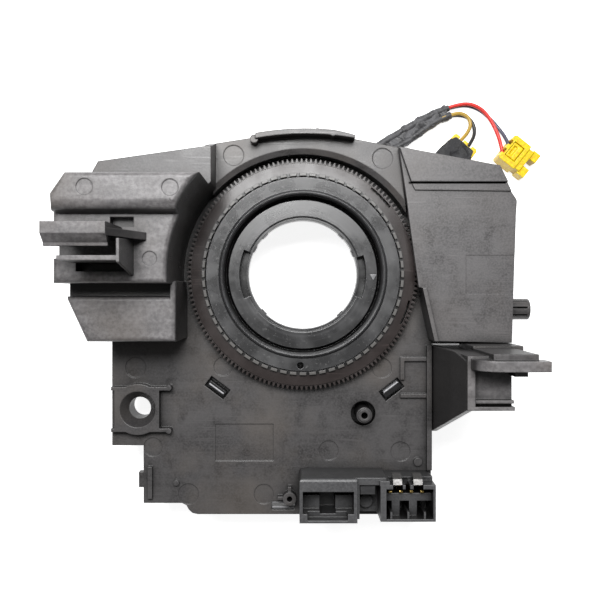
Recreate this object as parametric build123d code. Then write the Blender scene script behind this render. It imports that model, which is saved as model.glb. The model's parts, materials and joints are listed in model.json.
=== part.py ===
from build123d import *

import math
import os

# Steering clock spring: a bracket housing that bolts round the steering column,
# with a rotor that turns in it and carries the airbag harness.
# The rotor axis is Z.  Z = 0 is the steering-wheel face of the rotor, on which
# the part rests, and +Z points to the column side.  Millimetres throughout.

# ---------------------------------------------------------------- walls and clearances
PLATE = 2.5             # thickness of the flat plates
WALL = 2.2              # thickness of the moulded side walls
RIB = 1.4               # thickness of stiffening ribs
RUN = 0.08              # radial running clearance of the rotor collar
SEAT = 0.3              # gap left between loosely fitted pieces
MARK = 0.25             # depth of a mould mark or an engraved panel

# ---------------------------------------------------------------- drum heights
DISC_TOP = 9.4          # top of the rotor disc
RIBBON = 10.0           # width of the flat ribbon cable
RIBBON_Z = DISC_TOP + 1.6               # lower edge of the ribbon
CASE_WEB = 1.8          # thickness of the case's end web
CASE_TOP = RIBBON_Z + RIBBON + CASE_WEB + 1.7

# ---------------------------------------------------------------- levels
SKIRT_Z = 15.0          # lowest edge of every stator wall outside the drum
PLATE_Z = CASE_TOP + PLATE              # column-side face of the lower plate
GEAR_LOW = PLATE_Z + 2.6                # underside of the toothed rim
RING_Z = PLATE_Z + 6.0                  # face of the hub flange
UPPER_Z = PLATE_Z + 8.0                 # face of the plate above the gear ring
COVER_Z = PLATE_Z + 11.0                # face of the sensor cover on the right
SOCKET_Z = PLATE_Z + 16.0               # rim of the two sockets
SHOULDER_Z = PLATE_Z + 23.0             # face of the upper-left shoulder
STEP_Z = PLATE_Z + 26.5                 # face of the lower left block
LEDGE_Z = PLATE_Z + 37.0                # floor of the left switch bay
RIDGE_Z = LEDGE_Z + 11.0                # top of the ridge above the left bay
RAIL_Z = LEDGE_Z + 20.0                 # top of the left slide rail
BAY_Z = PLATE_Z + 43.0                  # rim of the right switch bay
TONGUE_Z = BAY_Z + 10.0                 # top of the right slide rail

# ---------------------------------------------------------------- rotor
BORE_R = 21.8           # bore for the steering column, through the hub's lip
LIP = 5.0               # depth of the lip round the bore
TUBE_R = BORE_R + 2.9   # inside of the hub tube below the lip
TUBE_WALL = 2.0         # wall of the hub tube that the ribbon winds on
TUBE_OUT = TUBE_R + TUBE_WALL
COLLAR_R = TUBE_OUT + 8.3               # collar that runs in the lower plate
FLANGE_R = COLLAR_R + 3.3               # rim of the hub flange
TEETH = 151             # teeth of the sensor gear ring
TOOTH = 1.4             # tooth height
TIP_R = FLANGE_R + 7.7  # tooth tips
LUGS = 64               # lugs round the ring's inner edge
RECESS_R = TIP_R + 1.2  # wall of the recess round the gear ring
BLOCK_R = RECESS_R + 0.8                # curved wall of the left block
DISC_R = TIP_R + 3.5    # rotor disc on the wheel side
CASE_R = DISC_R + 1.0   # ribbon case, outside
CASE_WALL = 2.0
HUB_RING = 4.0          # width of the disc's ring round the hub tube
RIM = 3.0               # thickness of the disc's rim
WEB_R = (TUBE_OUT + HUB_RING + DISC_R - RIM) / 2    # middle of the disc's web
INDEX = (COLLAR_R + 1.1, -91.6, 1.35)   # index hole: radius, angle, hole radius
TURNS = 5               # turns of the ribbon cable

# ---------------------------------------------------------------- mounting
BOSS = (-66.0, -54.0)   # centre of the mounting boss
BOSS_BORE_R = 4.4
SCREW = (-5.3, -89.7)   # screw pillar beside the control socket
SCREW_BORE_R = 1.1
SCREW_DEPTH = 6.5       # depth of its blind bore below the plate's face

# ---------------------------------------------------------------- sockets
CONTROL = (-1.4, 20.6, -95.0, -82.3)     # control socket: x0, x1, y0, y1
AIRBAG = (30.7, 50.4, -94.4, -81.2)      # airbag socket: x0, x1, y0, y1
SOCKET_BACK = -78.0                      # wall behind both sockets
PIN_PITCH = 4.05
PIN_Y = -83.9

# ---------------------------------------------------------------- harness
WIRE_R = 0.8
SLEEVE_R = 1.62
GLAND_ANGLE = 60.0      # where the harness leaves the rotor, from +X
PLUG_WIDTH = 12.3
PLUG_LENGTH = 14.5
PLUG_HEIGHT = 9.0
FRONT_PLUG = (94.0, 51.8, -39.0)         # x, y and direction of the free plug
REAR_PLUG = (66.5, 52.3, -129.0)         # x, y and direction of the taped plug
WIRE_PITCH = 4.4        # spacing of the two wires that enter a plug
WIRE_ENTRY = 1.2        # depth of a plug's wire entries
ENTRY_Z = 4.4           # height of a plug's wire entries


# ---------------------------------------------------------------- small helpers
def block(x0, x1, y0, y1, z0, z1):
    """Box between two corners."""
    centre = Pos((x0 + x1) / 2, (y0 + y1) / 2, (z0 + z1) / 2)
    return centre * Box(x1 - x0, y1 - y0, z1 - z0)


def prism(points, z0, z1):
    """Upright block on a closed polygon."""
    face = make_face(Polyline(*points, close=True))
    return extrude(Pos(0, 0, z0) * face, amount=z1 - z0, dir=(0, 0, 1))


def side_prism(points, x0, x1):
    """Block on a closed polygon of (y, z) points, from x0 to x1."""
    face = make_face(Polyline(*[(x0, y, z) for y, z in points], close=True))
    return extrude(face, amount=x1 - x0, dir=(1, 0, 0))


def front_prism(points, y0, y1):
    """Block on a closed polygon of (x, z) points, from y0 to y1."""
    face = make_face(Polyline(*[(x, y0, z) for x, z in points], close=True))
    return extrude(face, amount=y1 - y0, dir=(0, 1, 0))


def post(x, y, radius, z0, z1):
    """Round post."""
    return Pos(x, y, (z0 + z1) / 2) * Cylinder(radius, z1 - z0)


def ring(inner, outer, z0, z1, x=0.0, y=0.0):
    """Flat ring."""
    return post(x, y, outer, z0, z1) - post(x, y, inner, z0 - 1, z1 + 1)


def turned(profile):
    """Solid of revolution about Z from closed (r, z) points."""
    face = make_face(Polyline(*[(r, 0, z) for r, z in profile], close=True))
    return revolve(face, Axis.Z)


def polar(radius, degrees):
    """Point on a circle about the rotor axis."""
    angle = math.radians(degrees)
    return radius * math.cos(angle), radius * math.sin(angle)


def tangential(radius, degrees, along, across, z0, z1):
    """Box on a circle about the rotor axis, its long side along the tangent."""
    x, y = polar(radius, degrees)
    return Pos(x, y, (z0 + z1) / 2) * Rot(0, 0, degrees) * Box(across, along, z1 - z0)


def arc_slot(radius, start, end, width, z0, z1):
    """Curved bar on a circle about the rotor axis, between two angles."""
    reach = 2 * radius
    middle = (start + end) / 2
    wedge = [(0, 0)] + [polar(reach, a) for a in (start, middle, end)]
    return ring(radius - width / 2, radius + width / 2, z0, z1) & prism(wedge, z0, z1)


# ---------------------------------------------------------------- rotor
def rotor_hub():
    """Tube, lip, collar and dished flange, with a drive pocket on each side of the bore."""
    web_z = PLATE_Z - PLATE
    dish_r = COLLAR_R - 4.2
    bead_r = COLLAR_R - 2.8
    lip_r = BORE_R + 1.1
    lip_z = RING_Z - 3.6
    hub = turned([
        (TUBE_R, 2.0), (TUBE_OUT, 2.0), (TUBE_OUT, web_z - 1.5), (TUBE_OUT + 1.5, web_z),
        (COLLAR_R, web_z), (COLLAR_R, RING_Z - 2), (FLANGE_R, RING_Z - 2),
        (FLANGE_R, RING_Z), (bead_r + 1.2, RING_Z - 0.2), (bead_r + 0.6, RING_Z + 0.9),
        (bead_r, RING_Z + 1.2), (bead_r - 0.6, RING_Z + 0.9), (dish_r + 0.3, RING_Z - 0.5),
        (dish_r, RING_Z - 5.5), (dish_r - 1.2, RING_Z - 6.2), (dish_r - 3.5, RING_Z - 5.6),
        (lip_r + 0.4, RING_Z - 2.9), (lip_r, RING_Z - 3.1), (lip_r, lip_z),
        (BORE_R, lip_z), (BORE_R, lip_z - LIP), (TUBE_R, lip_z - LIP - 2.9),
    ])
    for start, end in DRIVE_POCKETS:
        hub -= arc_slot(BORE_R + 2.15, start, end, 2.9, RING_Z - 7.0, RING_Z)
    hub -= post(*polar(*INDEX[:2]), INDEX[2], RING_Z - 4, RING_Z + 1)
    return hub


DRIVE_POCKETS = ((157.3, 202.7), (-22.3, 17.5))     # first and last angle of each pocket


def gear_teeth(count, tip_r, height, slack, z0, z1, inner_r):
    """Straight-flanked gear rim.  slack narrows each tooth for backlash."""
    pitch = 2 * math.pi / count
    root_r = tip_r - height
    root_half = (pitch * tip_r * 0.34 - slack) / tip_r
    tip_half = (pitch * tip_r * 0.15 - slack / 2) / tip_r
    points = []
    for tooth in range(count):
        middle = tooth * pitch
        corners = ((root_r, -root_half), (tip_r, -tip_half), (tip_r, tip_half), (root_r, root_half))
        for radius, offset in corners:
            angle = middle + offset
            points.append((radius * math.cos(angle), radius * math.sin(angle)))
    return prism(points, z0, z1) - post(0, 0, inner_r, z0 - 1, z1 + 1)


def sensor_gear_ring():
    """Toothed ring with a sloping face, inner lugs and two snap slots."""
    root_r = TIP_R - TOOTH
    seat_r = COLLAR_R + SEAT
    ring_body = turned([
        (seat_r, GEAR_LOW), (root_r - 0.4, GEAR_LOW), (root_r - 0.4, GEAR_LOW + 2.2),
        (FLANGE_R + 2.0, RING_Z - 0.7),
        (FLANGE_R + SEAT, RING_Z - 0.7), (FLANGE_R + SEAT, RING_Z - 2.0),
        (seat_r, RING_Z - 2.0),
    ])
    ring_body += gear_teeth(TEETH, TIP_R, TOOTH, 0.06, GEAR_LOW, GEAR_LOW + 1.8, root_r - 1.0)
    lug_r = FLANGE_R + SEAT + 0.75
    lugs = [
        tangential(lug_r, 360.0 * n / LUGS, 2.6, 1.1, RING_Z - 1.0, RING_Z + 0.4)
        for n in range(LUGS)
    ]
    ring_body += lugs
    for start, end in SNAP_SLOTS:
        ring_body -= arc_slot(TIP_R - 2.5, start, end, 0.9, GEAR_LOW - 1, RING_Z + 1)
    return ring_body - post(*polar(*INDEX[:2]), INDEX[2], GEAR_LOW - 1, RING_Z)


SNAP_SLOTS = ((37.5, 51.5), (-27.0, -14.0))         # first and last angle of each slot


RIBS_LEFT_OUT = (2, 8, 9, 10)     # where the gland and the wheel socket sit


def rotor_disc():
    """Wheel-side disc: web, outer rim, hub socket and radial ribs."""
    seat_r = TUBE_OUT + 0.05
    ring_r = TUBE_OUT + HUB_RING
    rim_r = DISC_R - RIM
    disc = turned([
        (TUBE_R, 0), (ring_r, 0), (ring_r, 5.5), (rim_r, 5.5), (rim_r, 0),
        (DISC_R - 0.6, 0), (DISC_R, 0.6), (DISC_R, DISC_TOP), (seat_r, DISC_TOP), (seat_r, 2.0),
        (TUBE_R, 2.0),
    ])
    span = rim_r - ring_r + 1.0
    ribs = [tangential(WEB_R, angle, RIB, span, 2.5, 6.0) for angle in range(0, 360, 30)]
    disc += [rib for n, rib in enumerate(ribs) if n not in RIBS_LEFT_OUT]
    disc -= tangential(DISC_R - 1, GLAND_ANGLE, 9.4, 8.0, 0.8, 5.5)
    return disc


def cable_gland():
    """Strain relief block in the rim of the rotor disc, with two cable mouths."""
    gland = tangential(DISC_R + 0.8, GLAND_ANGLE, 9.0, 9.6, 1.0, 5.3)
    return gland + tangential(DISC_R - 4.4, GLAND_ANGLE, 12.0, 2.0, 1.0, 5.3)


def wheel_socket():
    """Socket for the switches on the steering wheel, in the web of the disc."""
    body = block(-11, 11, -WEB_R - 6.5, -WEB_R + 6.5, 0.4, 5.5)
    body -= block(-9.6, 9.6, -WEB_R - 5.1, -WEB_R + 5.1, -1, 4.2)
    return body


def wheel_socket_pins():
    """Row of flat pins in the wheel-side socket."""
    y0, y1 = -WEB_R - 0.4, -WEB_R + 0.4
    return [block(x - 0.32, x + 0.32, y0, y1, 1.0, 4.2) for x in (-7, -4.2, -1.4, 1.4, 4.2, 7)]


# ---------------------------------------------------------------- ribbon case
def ribbon_case():
    """Drum that holds the ribbon cable, with hooked ears for the housing's windows."""
    low = DISC_TOP + SEAT
    web = CASE_TOP - CASE_WEB
    case = turned([
        (CASE_R - CASE_WALL, low), (CASE_R, low), (CASE_R, CASE_TOP),
        (COLLAR_R + 1.0, CASE_TOP), (COLLAR_R + 1.0, web), (CASE_R - CASE_WALL, web),
    ])
    foot = CASE_TOP - 3.2
    for angle, radius in HOOKS:
        inner, outer = CASE_R - 1.7, radius + 3.2
        case += tangential((inner + outer) / 2, angle, 11.2, outer - inner, foot, CASE_TOP)
        case += tangential(radius, angle, 8.0, 1.5, foot, PLATE_Z + 0.9)
        case += tangential(radius + 0.45, angle, 8.0, 2.0, PLATE_Z - 0.3, PLATE_Z + 0.9)
    return case


HOOKS = ((-127.0, CASE_R + 6.5), (-52.2, CASE_R + 7.9))     # angle and radius of each snap hook


def ribbon_cable():
    """Flat ribbon cable: half-circle turns from the hub out to the case."""
    thickness = 0.5
    inner = TUBE_OUT + 1.0
    outer = CASE_R - CASE_WALL - 1.0
    step = (outer - inner - thickness) / (2 * TURNS)
    edges = []
    for side in (0.0, thickness):
        radius = inner + side
        x = radius
        run = []
        for half in range(2 * TURNS):
            sign = 1 if half % 2 == 0 else -1
            span = 2 * radius + step
            x_end = x - sign * span
            middle = (x + x_end) / 2
            run.append(ThreePointArc((x, 0), (middle, sign * span / 2), (x_end, 0)))
            x = x_end
            radius += step
        edges.append(run)
    first, second = edges
    ends = [Line(first[0] @ 0, second[0] @ 0), Line(first[-1] @ 1, second[-1] @ 1)]
    face = make_face(first + second + ends)
    return extrude(Pos(0, 0, RIBBON_Z) * face, amount=RIBBON, dir=(0, 0, 1))


def slip_sheet():
    """Thin sheet that keeps the ribbon off the case."""
    top = CASE_TOP - CASE_WEB - 0.2
    return ring(TUBE_OUT + 1.3, CASE_R - CASE_WALL - SEAT, top - 0.4, top)


# ---------------------------------------------------------------- bracket housing
LOWER_OUTLINE = [
    (-77.0, -4.0), (-77.0, -69.0), (-64.3, -69.0), (-64.3, -92.3), (-48.8, -92.3),
    (-47.0, -93.2), (-46.0, -95.0), (-44.6, -96.3), (-42.4, -96.8), (51.8, -96.8),
    (51.8, -28.0), (80.5, -28.0), (81.5, 32.0), (76.0, 39.0), (38.0, 48.0), (-34.0, 48.0),
    (-77.0, 36.0),
]
UPPER_LEFT = (-35.4, 51.0)
UPPER_RIGHT = (37.4, 49.6)
TAIL = (40.7, 23.6)                      # end of the narrow strip beside the cover
SHOULDER_X = -34.2                       # right-hand wall of the shoulder
SHOULDER = [(-78.0, 30.0), (-78.0, 37.5), (-75.9, 41.2), (SHOULDER_X, 47.1), (SHOULDER_X, 20.0)]
RIDGE = [(-85.0, 20.0), (-85.0, 25.6), (-80.0, 32.8), (SHOULDER_X, 32.8), (SHOULDER_X, 20.0)]
LEDGE = [(-87.7, -4.1), (-87.7, 22.4), (-38.0, 22.4), (-38.0, -4.1)]
STEP_X = -TIP_R - 0.6                    # right-hand wall of the lower step
STEP = [(-86.4, -3.0), (-86.4, -9.8), (-79.2, -25.3), (STEP_X, -25.3), (STEP_X, -3.0)]
GROOVE = (-8.7, -4.1, 4.0)               # groove under the ledge: y0, y1 and depth
SOFT = 1.8                               # rounding of the left block's edges


def upper_outline():
    """Plate above the gear ring, with a bowed top edge."""
    bow = ThreePointArc((-20.8, 53.3), (-0.4, 56.2), (20.4, 52.9))
    start = Polyline(TAIL, (UPPER_LEFT[0], TAIL[1]), UPPER_LEFT, (-20.8, 53.3))
    end = Polyline((20.4, 52.9), UPPER_RIGHT, (39.9, 30.0), TAIL)
    return make_face(start + bow + end)


def upright(face, z0, z1):
    """Face raised to a block between two heights."""
    return extrude(Pos(0, 0, z0) * face, amount=z1 - z0, dir=(0, 0, 1))


def inset(points, amount):
    """Face of a polygon, moved inwards by a wall thickness."""
    return offset(make_face(Polyline(*points, close=True)), -amount, kind=Kind.INTERSECTION)


def soft_block(points, top):
    """Block beside the gear ring, with its upper edges rounded."""
    solid = prism(points, SKIRT_Z, top) - post(0, 0, BLOCK_R, SKIRT_Z - 1, top + 1)
    return fillet(solid.edges().group_by(Axis.Z)[-1], SOFT)


def left_block():
    """Hollow block of the left switch bay: shoulder, ridge, ledge and lower step."""
    ridge = soft_block(RIDGE, RIDGE_Z)
    ledge = soft_block(LEDGE, LEDGE_Z)
    step = prism(STEP, SKIRT_Z, STEP_Z)
    step = fillet(step.edges().group_by(Axis.Z)[-1], SOFT)
    shoulder = prism(SHOULDER, SKIRT_Z, SHOULDER_Z)
    flank = side_prism([
        (30.0, SKIRT_Z), (30.0, SHOULDER_Z), (47.1, SHOULDER_Z), (51.1, UPPER_Z), (51.1, SKIRT_Z),
    ], SHOULDER_X - WALL, SHOULDER_X)
    wing = shoulder + flank - post(0, 0, BLOCK_R, SKIRT_Z - 1, SHOULDER_Z + 1)
    return ridge + ledge + step + wing


def step_groove():
    """Groove between the step and the ledge's front wall, its lower lip rounded."""
    y0, y1, depth = GROOVE
    slot = block(-90.0, STEP_X - 2.0, y0, y1, STEP_Z - depth, STEP_Z + 2)
    lip = block(-90.0, STEP_X - 2.0, y0 - SOFT, y0, STEP_Z - SOFT, STEP_Z + 1)
    arc = Pos(0, y0 - SOFT, STEP_Z - SOFT) * Rot(0, 90, 0) * Cylinder(SOFT, 400)
    return slot + (lip - arc)


def left_cavities():
    """Hollows inside the left block, with a rib left between neighbours."""
    hollows = []
    for points, top in ((RIDGE, RIDGE_Z), (LEDGE, LEDGE_Z), (STEP, STEP_Z), (SHOULDER, SHOULDER_Z)):
        hollow = upright(inset(points, WALL), SKIRT_Z - 1, top - PLATE)
        hollow -= post(0, 0, BLOCK_R + WALL, SKIRT_Z - 2, top)
        for x in (-71.0, -56.0):
            hollow -= block(x - RIB / 2, x + RIB / 2, -30, 60, SKIRT_Z, top)
        hollows.append(hollow)
    return hollows


RAIL = (-84.4, -63.5, 11.5, 15.3)        # left slide rail: x0, x1, y0, y1
BAR = (-79.4, -59.3, 2.9, 4.5)           # thin bar that faces the rail
STOP_X = -59.3                           # face of the end stop
STOP_WALL = 1.0                          # thickness of the end stop


def left_rail():
    """Slide rail, facing bar, end stop and gusset of the left bay."""
    x0, x1, y0, y1 = RAIL
    rail = side_prism([
        (y1, LEDGE_Z - 3), (y1, RAIL_Z), (y0, RAIL_Z), (y0 - 2.8, RAIL_Z - 2.8),
        (y0 - 3.9, RAIL_Z - 3.0), (y0 - 3.9, RAIL_Z - 5.2), (y0, RAIL_Z - 6.5), (y0, LEDGE_Z - 3),
    ], x0, x1)
    rail -= block(x0 - 1, -81.5, y0 - 5, y0, LEDGE_Z - 4, RAIL_Z - 5)
    bar = block(BAR[0], BAR[1], BAR[2], BAR[3], LEDGE_Z - 8, RAIL_Z - 1)
    stop = side_prism([
        (-1.6, LEDGE_Z - 1), (2.4, RAIL_Z - 1), (10.0, RAIL_Z - 1), (10.9, LEDGE_Z - 1),
    ], STOP_X - STOP_WALL, STOP_X)
    fin = front_prism([
        (x1 - 0.5, LEDGE_Z - 1), (x1 - 0.5, RAIL_Z), (-55.0, LEDGE_Z + 0.6), (-55.0, LEDGE_Z - 1),
    ], 10.9, 13.5)
    return rail + bar + stop + fin


def left_channels():
    """Two channels sunk in the bay floor and the slot behind the rail."""
    upper = block(-89.0, STOP_X - STOP_WALL, BAR[3], RAIL[2], LEDGE_Z - 7, LEDGE_Z + 1)
    lower = block(-79.4, STOP_X - STOP_WALL, 0.0, BAR[2], LEDGE_Z - 7, LEDGE_Z + 1)
    slot = block(RAIL[1] - 4.0, STOP_X, RAIL[3] + 0.2, 18.9, LEDGE_Z - 4, LEDGE_Z + 1)
    return [upper, lower, slot]


def channel_trays():
    """Walls and floors of the sunk channels and the groove, inside the hollow block."""
    y0, y1, depth = GROOVE
    under = STEP_Z - depth - WALL
    tray = block(-84.5, STEP_X - 0.5, y0 - WALL, y1 + 0.5, under, STEP_Z - PLATE + 0.5)
    return block(-86.5, STOP_X, -2.0, 20.5, LEDGE_Z - 9, LEDGE_Z - 1) + tray


def mounting_boss():
    """Square boss, bowed above and below, with a lug at each corner."""
    x, y = BOSS
    top = PLATE_Z + 3.2
    boss = block(x - 9.3, x + 8.6, y - 9.0, y + 9.0, PLATE_Z - 1, top)
    boss += post(x, y, 10.2, PLATE_Z - 1, top) & block(x - 9.3, x + 8.6, y - 11, y + 11, 0, top)
    boss += post(x, y, 8.6, SKIRT_Z + 2, PLATE_Z)
    for side in (-1, 1):
        y0, y1 = sorted((y + side * 7.6, y + side * 9.0))
        boss += block(x - 10.6, x - 9.0, y0, y1, PLATE_Z - 1, top)
        boss += block(x + 8.0, x + 12.4, y0, y1, PLATE_Z - 1, top)
        boss += post(x + 12.4, y + side * 8.6, 1.1, PLATE_Z - 1, top)
    return boss


def mounting_bore():
    """Through hole of the mounting boss, opening into a wide cone in front."""
    x, y = BOSS
    bore = post(x, y, BOSS_BORE_R, SKIRT_Z - 1, PLATE_Z + 4)
    bore += Pos(x, y, PLATE_Z + 1.3) * Cone(BOSS_BORE_R, 7.6, 5.0)
    return bore


GUIDE = (39.3, 50.5, -49.6, -33.3)       # U-shaped guide ribs: x0, x1, y0, y1


def small_bosses():
    """Screw pillar, guide bumps and ribs on the lower plate."""
    x, y = SCREW
    parts = [post(x, y, 2.7, PLATE_Z - SCREW_DEPTH - 1.5, PLATE_Z + 3.5)]
    parts.append(block(x - 0.7, x + 0.7, y, y + 4.6, PLATE_Z - 1, PLATE_Z + 2.5))
    parts.append(block(x - 4.8, x, y - 0.7, y + 0.7, PLATE_Z - 1, PLATE_Z + 2.5))
    parts.append(post(46.4, -75.5, 1.7, PLATE_Z - 1, PLATE_Z + 1.0))
    parts.append(post(-51.0, -84.0, 1.2, PLATE_Z - 1, PLATE_Z + 1.0))
    parts.append(block(-62.4, -60.6, -90.3, -77.4, PLATE_Z - 1, PLATE_Z + 1.4))
    parts.append(block(-66.2, -64.0, -85.9, -79.8, PLATE_Z - 3, PLATE_Z))
    x0, x1, y0, y1 = GUIDE
    parts.append(block(x0, x1, y1 - 1.6, y1, PLATE_Z - 1, PLATE_Z + 1.2))
    parts.append(block(x0, x1, y0, y0 + 1.6, PLATE_Z - 1, PLATE_Z + 1.2))
    parts.append(block(x0, x0 + 1.6, -42.4, y1, PLATE_Z - 1, PLATE_Z + 1.2))
    parts.append(block(49.8, 51.8, -78.6, -28.5, PLATE_Z - 1, PLATE_Z + 2.0))
    return parts


WELL = (24.4, -56.0, 5.0, 7.0)          # post well: x, y, radius and depth
PILLAR_R = 3.1


def well_cup():
    """Cup under the plate that the post well is sunk in."""
    x, y, radius, depth = WELL
    return post(x, y, radius + 1.6, PLATE_Z - depth - 1.6, PLATE_Z)


def well_space():
    """Space between the post and the wall of its well."""
    x, y, radius, depth = WELL
    return ring(PILLAR_R, radius, PLATE_Z - depth, PLATE_Z + 1, x, y)


def well_pillar():
    """Post that stands in the well, with a stepped top."""
    x, y = WELL[:2]
    pillar = post(x, y, PILLAR_R, PLATE_Z - 1, PLATE_Z + 4.9)
    return pillar + post(x, y, PILLAR_R - 0.6, PLATE_Z - 1, PLATE_Z + 5.5)


EJECTORS = (
    (-67.5, -37.5, 4.2, PLATE_Z), (-32.2, -37.2, 3.8, PLATE_Z), (-60.5, -69.7, 3.8, PLATE_Z),
    (-46.2, -88.7, 4.2, PLATE_Z), (-15.7, -88.7, 4.0, PLATE_Z), (10.5, -71.1, 4.0, PLATE_Z),
    (39.5, -71.5, 4.0, PLATE_Z), (32.0, -37.8, 4.0, PLATE_Z), (-27.2, 46.5, 4.0, UPPER_Z),
    (31.2, 45.3, 4.0, UPPER_Z), (-73.0, 27.7, 2.8, RIDGE_Z), (-44.6, 27.5, 2.8, RIDGE_Z),
    (-53.8, 4.5, 2.55, LEDGE_Z),
)


def ejector_marks():
    """Shallow round witness marks of the mould's ejector pins."""
    return [post(x, y, r, z - MARK, z + 0.5) for x, y, r, z in EJECTORS]


def bare_panel():
    """Shallow rectangular panel on the lower plate."""
    return block(-35.4, -11.8, -75.3, -60.4, PLATE_Z - MARK, PLATE_Z + 1)


def housing_windows():
    """Windows for the case's snap hooks, and the slot by the screw pillar."""
    cuts = []
    for angle, radius in HOOKS:
        cuts.append(tangential(radius + 0.2, angle, 9.6, 4.8, PLATE_Z - PLATE - 5, PLATE_Z + 1))
    cuts.append(block(-12.6, -3.2, -95.0, -91.6, PLATE_Z - PLATE - 1, PLATE_Z + 1))
    return cuts


def plate_bodies():
    """Flat plates, recess wall and skirts of the housing."""
    low = PLATE_Z - PLATE
    body = prism(LOWER_OUTLINE, SKIRT_Z, PLATE_Z)
    body -= upright(inset(LOWER_OUTLINE, WALL), SKIRT_Z - 1, low)
    upper = upright(upper_outline(), SKIRT_Z, UPPER_Z)
    lip = Pos(0, 0, UPPER_Z - 0.75) * Cone(RECESS_R, RECESS_R + 2.0, 1.5)
    upper -= post(0, 0, RECESS_R, SKIRT_Z - 1, UPPER_Z + 1) + lip
    hollow = upright(offset(upper_outline(), -WALL, kind=Kind.INTERSECTION), SKIRT_Z - 1, low)
    body -= hollow
    gap = upright(offset(upper_outline(), -WALL, kind=Kind.INTERSECTION), PLATE_Z, UPPER_Z - PLATE)
    gap -= post(0, 0, RECESS_R + WALL, PLATE_Z - 1, UPPER_Z)
    return body, upper - gap - hollow


GUSSET_LEAN = 4.4        # outward lean of the right gusset wall, in degrees
BAY = (55.4, 71.4, -47.5, -29.0)         # right bay: x0, x1, y0, y1
POCKET = 3.5                             # depth of its open pocket
TONGUE = (56.5, 80.0, -33.3, -29.8)      # right slide rail: x0, x1, y0, y1


def right_bay():
    """Right switch bay: leaning gusset wall, open pocket and slide rail."""
    x0, x1, y0, y1 = BAY
    gusset = side_prism([
        (-28.5, SKIRT_Z), (-63.2, SKIRT_Z), (-63.2, PLATE_Z), (-47.2, BAY_Z), (-31.0, BAY_Z),
        (-28.5, BAY_Z - 14),
    ], 0, WALL)
    gusset = Pos(52.0, 0, PLATE_Z) * Rot(0, GUSSET_LEAN, 0) * Pos(0, 0, -PLATE_Z) * gusset
    gusset &= block(45, 65, -70, -20, SKIRT_Z, BAY_Z)
    pocket = block(x0, x1, y0, y1, SKIRT_Z, BAY_Z)
    floor_z = BAY_Z - POCKET
    pocket -= block(x0 + 2.6, x1 + 1, y0 + 1.3, TONGUE[2] - 0.9, floor_z, BAY_Z + 1)
    pocket -= block(x0 + WALL, x1 - WALL, y0 + WALL, y1 - WALL, SKIRT_Z - 1, floor_z - PLATE)
    ledge = block(x0 + 2.2, x1, y0 + 2.3, y0 + 3.4, floor_z - 1, BAY_Z - 1)
    tongue = block(*TONGUE, COVER_Z, TONGUE_Z)
    tongue = fillet(tongue.edges().filter_by(Axis.Y).group_by(Axis.Z)[-1].sort_by(Axis.X)[0], 9.0)
    tongue -= block(78.6, 82.0, -36, -20, COVER_Z - 1, TONGUE_Z - 7)
    shelf = block(62.7, 81.2, -30.0, -27.1, COVER_Z - 9, COVER_Z + 12)
    shelf += block(62.7, 77.7, TONGUE[3] - 1, TONGUE[3] + 1.9, COVER_Z, TONGUE_Z - 5)
    foot = block(70.4, 74.8, TONGUE[2] - 2.3, TONGUE[2] + 1, BAY_Z - 14, BAY_Z + 3)
    return gusset + pocket + ledge + tongue + shelf + foot


PEG = (-14.1, PLATE_Z - 5, 4.3)    # peg axis: y, z and radius
PEG_END = 92.4


def side_peg():
    """Ribbed locating peg on the right-hand wall."""
    y, z, radius = PEG
    length = PEG_END - 80.0
    peg = Pos(PEG_END - length / 2, y, z) * Rot(0, 90, 0) * Cylinder(radius, length)
    for across in (-2.6, 0.4, 3.0):
        peg -= block(82.0, PEG_END - 1.2, y + across, y + across + 0.7, z + 2.4, z + radius + 1)
    return peg - Pos(PEG_END, y, z) * Rot(0, 90, 0) * Cylinder(2.2, 8.0)


SENSOR_GEARS = ((20, 20.5), (22, 4.2))     # teeth and angle of each sensor pinion


def pinion_place(teeth, angle):
    """Centre of a pinion that meshes with the gear ring."""
    module = 2 * (TIP_R - TOOTH / 2) / TEETH
    return polar((TEETH + teeth) * module / 2, angle)


def pinion_posts():
    """Posts that the two sensor pinions turn on."""
    return [post(*pinion_place(*gear), 1.6, PLATE_Z - 1, GEAR_LOW + 3.0) for gear in SENSOR_GEARS]


def top_bead():
    """Raised rib along the bowed top edge, with a round end and two nubs."""
    low, high = UPPER_Z - 1, UPPER_Z + 6.0
    bead = ring(107.0, 109.0, low, high, 0.9, -53.4) & block(-18.4, 19.9, 45, 60, low, high)
    bead &= upright(upper_outline(), low, high)
    bead += post(-18.9, 51.9, 1.6, low, UPPER_Z + 5.0)
    for x, y in ((5.5, 54.6), (11.5, 53.8)):
        bead += post(x, y, 1.1, low, high)
    return bead


SEAT_HOLE = (CONTROL[0] + 2, AIRBAG[1] - 2, -92.5, SOCKET_BACK - 2)


def socket_seat():
    """Opening in the lower plate that the socket housing drops into."""
    x0, x1, y0, y1 = SEAT_HOLE
    return block(x0, x1, y0, y1, PLATE_Z - 4, PLATE_Z + 1)


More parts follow.
